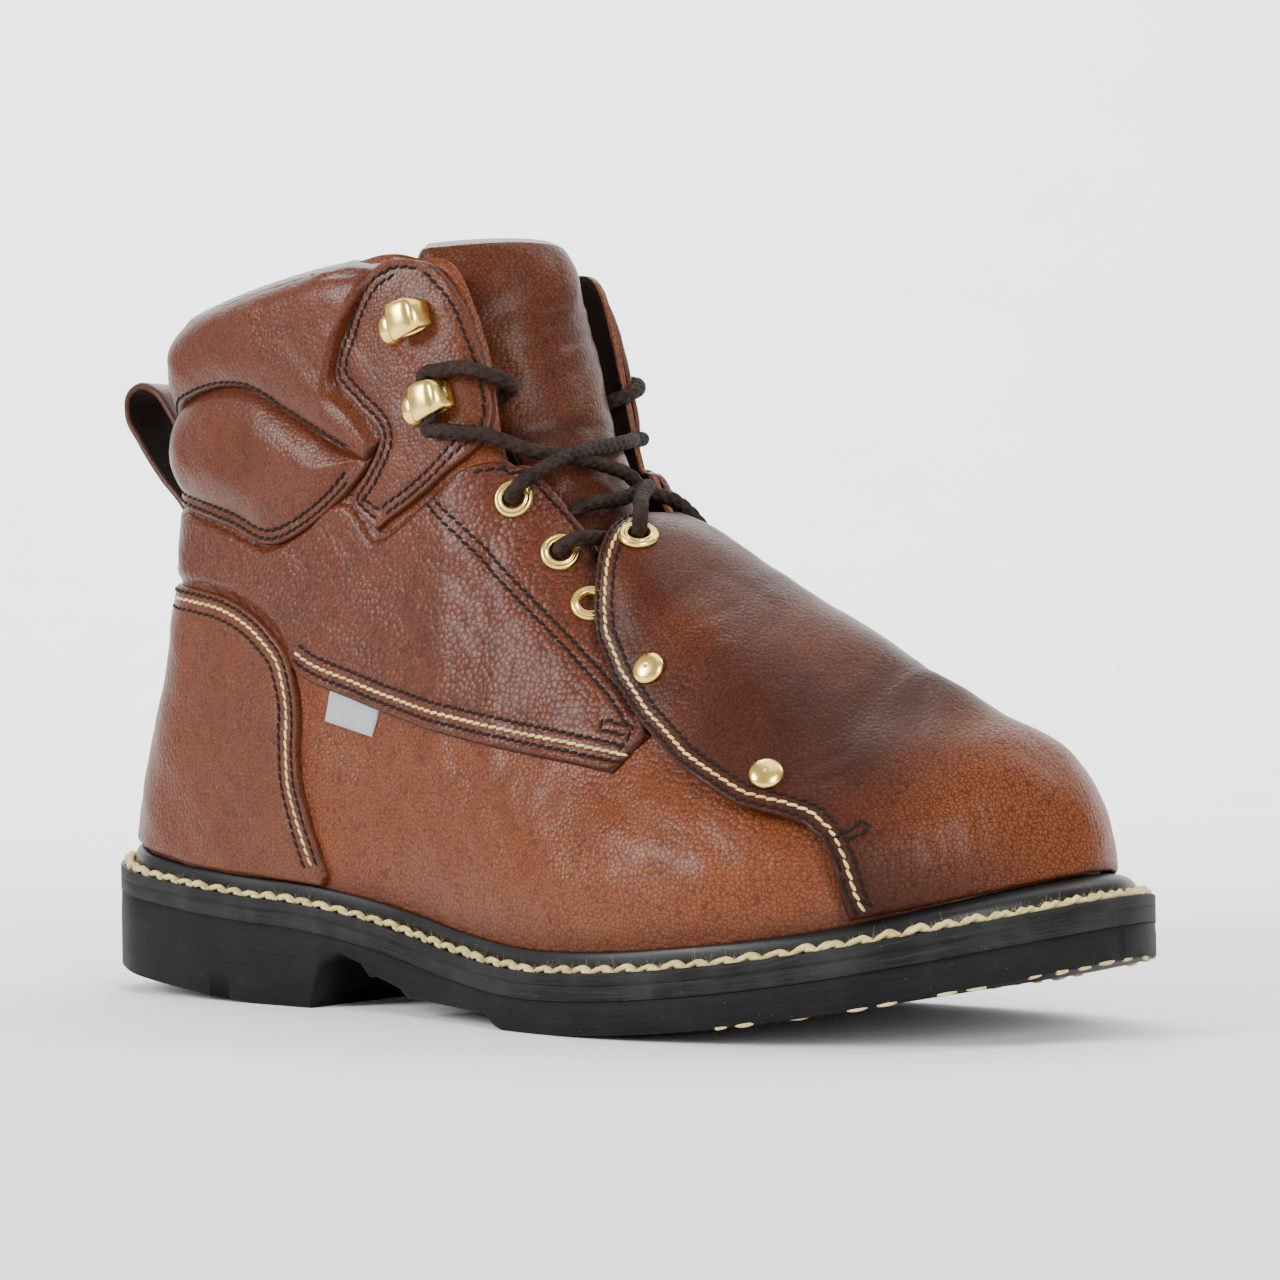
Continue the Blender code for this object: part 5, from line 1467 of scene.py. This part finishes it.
def run_marks(profiles):
    """Coordinates along and across a sole layer's side, for streaks that follow it."""
    length = chord(profiles[:, 0])
    across = np.cumsum(np.concatenate([np.zeros((len(profiles), 1)),
                                       np.linalg.norm(np.diff(profiles, axis=1), axis=2)], axis=1), axis=1)
    run = np.zeros((*profiles.shape[:2], 3))
    run[..., 0] = length[:, None] * 0.05
    run[..., 1] = across * 2.2
    return run.reshape(-1, 3)


def slab(name, top_of, bottom_of, used, slot, node_name, lips, tread=False):
    """Layer of the sole: rounded side, flat top and a tread underneath."""
    stations = stations_round(44, 1.5, 50)
    if tread:
        cuts = [x + d * width / 2 + e for x, width, *_ in GROOVES for d in (-1, 1) for e in (-0.06, 0.06)]
        stations = np.unique(np.concatenate([stations, cuts, [x for x, _ in ARCH]]))
    across = np.linspace(0, 1, 15 if tread else 3)
    rings = []
    for q in stations:
        halves = []
        for side in (-1, 1):
            x, y, dx, dy = rib_frame(q, side)
            out = float(reach(q, side))
            rim, lip, foot, flat = ((x + dx * (out - r), y + dy * (out - r))
                                    for r in (0.0, lips[0], lips[1], lips[0] + LIP_FLAT))
            top = float(top_of(rim[0]))
            bottom = float(bottom_of(rim[0]))
            tall = top - bottom - lips[0] - lips[1]
            column = [(*flat, top)] + [(*(rim if s else lip), top - lips[0] - s * tall) for s in SIDE_ROWS]
            halves.append((column, np.array(foot), bottom))
        (left, a, low_a), (right, b, low_b) = halves
        under = []
        for share in across:
            spot = a + (b - a) * share
            z = low_a + (low_b - low_a) * share
            under.append((*spot, max(z, tread_height(*spot)) if tread else z))
        rings.append(left + under + right[::-1])
    rings = np.array(rings)
    faces = tube_faces(*rings.shape[:2], flip=True)
    piece(name, rings.reshape(-1, 3), faces, used, slot, [node_name], {"run": run_marks(rings)})


def tread_height(x, y):
    """Height of the tread's grooves above the ground."""
    for middle, width, lateral, medial, depth in GROOVES:
        if abs(x - middle) < width / 2 and -lateral < y < medial:
            return float(ground_line(middle)) + depth
    return 0.0


def make_insole():
    """Cloth-covered insole, slightly hollowed under the foot."""
    q = stations_round(24, 3.0, 30)
    share = np.linspace(0, 1, 17)[:, None]
    edges = []
    for side in (-1, 1):
        x, y, dx, dy = rib_frame(q, side)
        out = reach(q, side) - INSOLE_INSET
        edges.append(np.stack([x + dx * out, y + dy * out], 1)[:, None])
    spot = edges[0] * (1 - share) + edges[1] * share
    low = stack_top(spot[..., 0]) - WELT_THICK
    inside = 2 * np.minimum(share, 1 - share)[:, 0]
    top = low + INSOLE_THICK - INSOLE_HOLLOW * ease(0.1, 1.0, inside) - 0.5 * (1 - roll(inside * 12, 1.5))
    points = np.concatenate([np.concatenate([spot, z[..., None]], -1).reshape(-1, 3) for z in (top, low)])
    points, kept, _, _ = weld(points, sheet_faces(len(q), len(share))[0])
    piece("insole_cloth", points, kept, LINING, "insole", ["insole"])


def make_sole():
    outsole_top = WELT_THICK + MIDSOLE_THICK + 2 * LAYER_GAP
    slab("outsole_lugged", lambda x: stack_top(x) - outsole_top, underside, OUTSOLE, "outsole", "outsole",
         lips=(0.2, 0.4), tread=True)
    slab("midsole_edge", lambda x: stack_top(x) - WELT_THICK, lambda x: stack_top(x) - outsole_top, MIDSOLE,
         "midsole", "midsole", lips=(0.0, 0.05))
    make_insole()


def strand(points, faces, centre, outward, fat):
    """Add one short tapering strand of thread to the lists of points and faces."""
    n = STRAND_SIDES
    base = len(points)
    for c, o, f in zip(centre, outward, fat):
        for a in np.linspace(0, 2 * math.pi, n, endpoint=False):
            points.append(c + o * f * math.cos(a) + np.array(UP) * f * 0.85 * math.sin(a))
    last = n * (len(centre) - 1)
    for j in range(base, base + last, n):
        for k in range(n):
            m = (k + 1) % n
            faces.append([j + k, j + m, j + n + m, j + n + k])
    faces.append([base + k for k in range(n - 1, -1, -1)])
    faces.append([base + last + k for k in range(n)])


def make_welt_stitches():
    """Cream lock stitch in the welt's channel, two twisted plies each, and thread ends under the toe."""
    q, side = once_round()
    x, y, dx, dy = rib_frame(q, side)
    out = reach(q, side)
    middle = out - 0.5 * STITCH_LEDGE - 0.15
    path = np.stack([x + dx * middle, y + dy * middle, stack_top(x + dx * out)], 1)
    under = np.stack([x + dx * (out - 0.7), y + dy * (out - 0.7), underside(x + dx * out) + 0.35], 1)
    outward = np.stack([dx, dy, 0 * dx], 1)
    path, under, outward = (np.concatenate([v, v[:1]]) for v in (path, under, outward))
    t = chord(path)
    count = int(t[-1] / WELT_PITCH)
    pitch = t[-1] / count
    share = np.linspace(0, 1, 11)
    bow = np.sin(math.pi * share)
    rise = np.array(UP)
    points = []
    faces = []
    rng = np.random.default_rng(5)
    for i in range(count):
        jitter = rng.normal(0, 0.17, 4)
        at = ((i - 0.06 + 1.12 * share) * pitch) % t[-1]
        p, o, low = (sample(at, t, v) for v in (path, outward, under))
        for ply in (0, 1):
            phase = math.pi * ply + 2.4 * math.pi * share + 2.0 * jitter[2]
            sideways = 0.72 * np.cos(phase) + 1.4 * jitter[0] + (0.7 + 1.5 * jitter[3]) * (share - 0.5)
            up = -0.7 + (1.4 + 0.8 * jitter[1]) * bow ** 0.55 + 0.4 * np.sin(phase) * bow
            centre = p + o * (sideways * (0.45 + 0.55 * bow))[:, None] + rise * up[:, None]
            strand(points, faces, centre, o, (0.86 + 0.5 * jitter[ply]) * (0.6 + 0.4 * bow ** 0.5))
        if low[5, 0] > TOE_THREADS_FROM and jitter[2] > -0.12:
            first = 2 if jitter[1] > 0 else 4
            beside = 0.3 + 2.4 * jitter[0] * bow
            below = 0.3 * bow + 1.6 * jitter[3] * share
            centre = low + o * beside[:, None] - rise * below[:, None]
            strand(points, faces, centre[first:9], o[first:9], 0.62 * bow[first:9])
    piece("welt_stitches", np.array(points), faces, CREAM, "welt")
    make_fuzz(path, outward, t, rng)


def make_fuzz(path, outward, t, rng):
    """Loose fibres that stand off the cream welt stitches."""
    points = []
    faces = []
    for _ in range(FIBRES):
        at = rng.uniform(0, t[-1])
        p, o = (sample(at, t, v) for v in (path, outward))
        start = p + o * rng.normal(0, 0.5) + np.array((0, 0, 0.7))
        way = o * rng.normal(-0.1, 0.8)
        way = unit(way + np.array((rng.normal(0, 0.7), rng.normal(0, 0.5), rng.uniform(0.2, 1.0))))
        curl = rng.normal(0, 1.1, 3)
        long = rng.uniform(0.3, 1.1)
        base = len(points)
        for share in (0.0, 0.5, 1.0):
            c = start + way * long * share + curl * long * share * share
            wide = FIBRE_RADIUS * (1.2 - share)
            for a in (0.0, 2.1, 4.2):
                points.append(c + wide * np.array((math.cos(a), math.sin(a), 0.3)))
        for j in (0, 3):
            for k in range(3):
                m = (k + 1) % 3
                faces.append([base + j + k, base + j + m, base + j + 3 + m, base + j + 3 + k])
        faces.append([base + 2, base + 1, base])
        faces.append([base + 6, base + 7, base + 8])
    piece("welt_fuzz", np.array(points), faces, CREAM, "welt")


# Fittings
def seat(point, normal, up):
    """Axes on a surface: normal, and the direction nearest to up."""
    z = np.asarray(normal, float)
    x = unit(np.cross(up, z))
    return np.asarray(point, float), x, np.cross(z, x), z


def turned(profile, frame_at, sides=56):
    """Ring of metal turned about the normal; the profile is radius and height, closed."""
    middle, x, y, z = frame_at
    a = np.linspace(0, 2 * math.pi, sides, endpoint=False)
    points = [middle + (x * math.cos(t) + y * math.sin(t)) * r + z * h for t in a for r, h in profile]
    count = len(profile)
    index = np.arange(sides * count).reshape(sides, count)
    b = np.roll(index, -1, axis=0)
    faces = np.stack([index, b, np.roll(b, -1, 1), np.roll(index, -1, 1)], -1).reshape(-1, 4)
    return np.array(points), faces


EYELET_RING = [(2.45, -2.2), (2.45, 0.55), (2.75, 1.15), (3.2, 1.3), (3.55, 1.05), (3.75, 0.8), (4.05, 1.05),
               (4.5, 1.0), (4.85, 0.6), (5.0, 0.1), (4.9, -0.3), (3.2, -0.4), (3.0, -2.2)]
RIVET_CAP = [(0.02, 1.45), (0.7, 1.44), (1.4, 1.39), (2.0, 1.29), (2.6, 1.13), (3.1, 0.92), (3.5, 0.68),
             (3.8, 0.42), (4.0, 0.14), (4.05, -0.1), (4.0, -1.2), (0.02, -1.4)]
HOOK_BASE = [
    # place along the hook, half-width, crown height, underside height
    (-7.4, 0.6, 0.7, 0.1),
    (-7.1, 2.2, 1.5, 0.0),
    (-6.3, 3.4, 2.5, 0.0),
    (-4.9, 4.2, 3.3, 0.0),
    (-3.2, 4.3, 3.5, 0.0),
    (-1.9, 3.9, 3.0, 0.0),
    (-1.0, 3.5, 1.6, 0.0),
    (1.0, 3.6, 0.8, 0.0),
    (5.0, 3.6, 0.8, 0.0),
    (6.6, 3.4, 0.8, 0.0),
]
HOOK_CAP = [
    # the same columns
    (-2.3, 3.7, 4.2, 3.8),
    (-2.0, 4.4, 5.0, 3.8),
    (-1.1, 4.8, 5.7, 4.3),
    (0.6, 4.85, 6.2, 4.7),
    (2.4, 4.7, 6.35, 4.8),
    (4.2, 4.5, 6.2, 4.6),
    (5.4, 4.3, 5.75, 4.2),
    (6.0, 4.15, 5.75, 3.4),
    (7.0, 3.9, 5.0, 1.6),
    (7.7, 3.5, 3.6, 0.3),
    (8.1, 3.0, 2.2, 0.1),
    (8.2, 2.3, 0.9, 0.1),
]


def hook_part(table, frame_at, sides=22, power=0.86):
    """Pressed metal form: crowned sections along the hook with a flat or hollow underside."""
    middle, x, y, z = frame_at
    rows = np.array(table, float)
    t = chord(rows[:, :3])
    dense = smooth(t, rows, np.linspace(0, t[-1], 44))
    points = []
    angles = np.linspace(0, math.pi, sides)
    for u, wide, crown, under in dense:
        for a in angles:
            v = -wide * np.sign(math.cos(a)) * abs(math.cos(a)) ** power
            w = under + (crown - under) * abs(math.sin(a)) ** power
            points.append(middle + x * u + y * v + z * w)
    return np.array(points), tube_faces(len(dense), sides)


def guard_spot(x, y, side):
    """Level on the guard's rib at which it reaches a distance from the centre line."""
    levels = np.linspace(0.3, 1, 141)
    points = GUARD.at(np.full(141, x * side), levels)[0]
    return float(np.interp(-y, -np.abs(points[:, 1] - points[-1, 1]), levels))


def on_surface(owner, point, normal, rise):
    """The place on a piece's outer face under a point, raised along the normal."""
    hit = surfaces[owner].ray_cast(Vector(point + normal * RAY_START), Vector(-normal), FITTING_RAY)[0]
    return (np.array(hit) if hit else point + normal * (PANEL_LIFT + PANEL)) + normal * rise


HOOK_TILT = 0.32
eyelet_spots = {}
hook_spots = {}


def spot_on(skin, station, z):
    """One point of a skin and its normal."""
    point, normal = skin.spot(np.array([station]), np.array([z]))
    return point[0], normal[0]


def brass_ring(name, profile, spot, normal, up, node_name):
    """Brass fitting turned about a normal."""
    points, faces = turned(profile, seat(spot, normal, up))
    piece(name, points, faces, BRASS, "fittings", [node_name])


def make_fittings():
    for side, word in SIDES:
        for index, (q, z) in enumerate(EYELETS, 1):
            p, n = spot_on(BODY, side * q, z)
            spot = on_surface(f"quarter_{word}", p, n, EYELET_RISE)
            brass_ring(f"eyelet_ring_{word}_{index}", EYELET_RING, spot, n, THROAT, f"eyelet_{word}_{index}")
            eyelet_spots[word, index] = (spot, n)
        for index, (q, z) in enumerate(HOOKS, 1):
            p, n = spot_on(BODY, side * q, z)
            spot = on_surface(f"hook_stay_{word}", p, n, HOOK_RISE)
            axes = seat(spot, n, (-HOOK_TILT * side, 0.0, side))
            points, faces = joined([hook_part(table, axes) for table in (HOOK_BASE, HOOK_CAP)])
            piece(f"hook_metal_{word}_{index}", points, faces, BRASS, "fittings", [f"hook_{word}_{index}"])
            hook_spots[word, index] = axes
        for index, (q, z) in enumerate(RIVETS, 1):
            p, n = spot_on(GUARD, side * q, z)
            spot = on_surface("met_guard", p, n, RIVET_RISE)
            brass_ring(f"rivet_cap_{word}_{index}", RIVET_CAP, spot, n, UP, f"rivet_{word}_{index}")
        x, y = GUARD_EYELET
        level = guard_spot(x, y, side)
        p, n = (v[0] for v in GUARD.at(np.array([side * x]), np.array([level])))
        spot = on_surface("met_guard", p, n, GUARD_RING_RISE)
        brass_ring(f"guard_ring_{word}", EYELET_RING, spot, n, UP, f"guard_eyelet_{word}")
        eyelet_spots[word, "guard"] = (spot, n)


# Lace
def braid(path, radius=LACE_RADIUS, sides=32, step=0.3):
    """Round braided cord along a smooth curve; returns its points, faces and middle line."""
    t = chord(path)
    fine = smooth(t, path, np.linspace(0, t[-1], 400))
    u = chord(fine)
    count = int(u[-1] / step)
    at = np.linspace(0, u[-1], count)
    line = sample(at, u, fine)
    ahead = unit(np.gradient(line, axis=0))
    side = np.zeros_like(line)
    start = np.array((0.2, 0.3, 1.0))
    for i, way in enumerate(ahead):
        start = unit(start - way * (start @ way))
        side[i] = start
    third = np.cross(ahead, side)
    a = np.linspace(0, 2 * math.pi, sides, endpoint=False)
    turn = a[None, :] * BRAID_STRANDS
    wind = at[:, None] * 2 * math.pi / BRAID_PITCH
    weave = np.maximum(np.cos(turn + wind), np.cos(turn - wind))
    r = radius * (0.9 + 0.13 * weave)
    points = line[:, None] + r[..., None] * (np.cos(a)[None, :, None] * side[:, None]
                                             + np.sin(a)[None, :, None] * third[:, None])
    return points.reshape(-1, 3), tube_faces(count, sides, flip=True), line


def lace_piece(name, runs, nodes):
    """Runs of lace joined into one piece."""
    piece(name, *joined([braid(np.array(run))[:2] for run in runs]), CORD, "lace", nodes)


def through(key, out=2.2, deep=6.0):
    """Points that take a lace down through an eyelet, from outside to inside."""
    spot, n = eyelet_spots[key]
    return [tuple(spot + n * out), tuple(spot + n * 0.2), tuple(spot - n * deep)]


def under_hook(key, ends):
    """Points under a hook's cap, at places along and across the hook."""
    middle, x, y, n = hook_spots[key]
    up = y if key[0] == "lateral" else -y
    return [tuple(middle + x * u + up * v + n * LACE_UNDER_HOOK) for u, v in ends]


def make_lace():
    run_a = through(("lateral", 1))[::-1][1:] + LACE_A[2:]
    run_a += under_hook(("medial", 2), [(2.4, -3.6), (2.2, 0.0)])
    run_b = under_hook(("lateral", 2), [(2.2, 0.0), (2.4, -3.6)]) + LACE_B
    run_b += through(("medial", "guard"), deep=4.0)
    run_c = LACE_C + [through(("lateral", "guard"), deep=4.0)[2]]
    bar = through(("lateral", 2))[::-1][1:] + LACE_BAR[2:-2] + through(("medial", 2))[:-1]
    lace_piece("lace_crossed", [run_a, run_b, run_c], ["lace_crossings"])
    lace_piece("lace_straight", [bar], ["lace_bar"])
    for word, points in (("lateral", LACE_END_LATERAL), ("medial", LACE_END_MEDIAL)):
        mesh_points, faces, line = braid(np.array(under_hook((word, 2), [(2.2, 0.0), (2.4, 4.0)]) + points))
        made = piece(f"lace_tail_{word}", mesh_points, faces, CORD, "lace", [f"lace_end_{word}"])


make_camera()
make_stage()
make_upper()
make_panels()
make_guard()
make_tongue()
make_loop()
make_collar_lining()
make_sole()
make_welt()
make_stitches()
make_welt_stitches()
make_fittings()
make_lace()
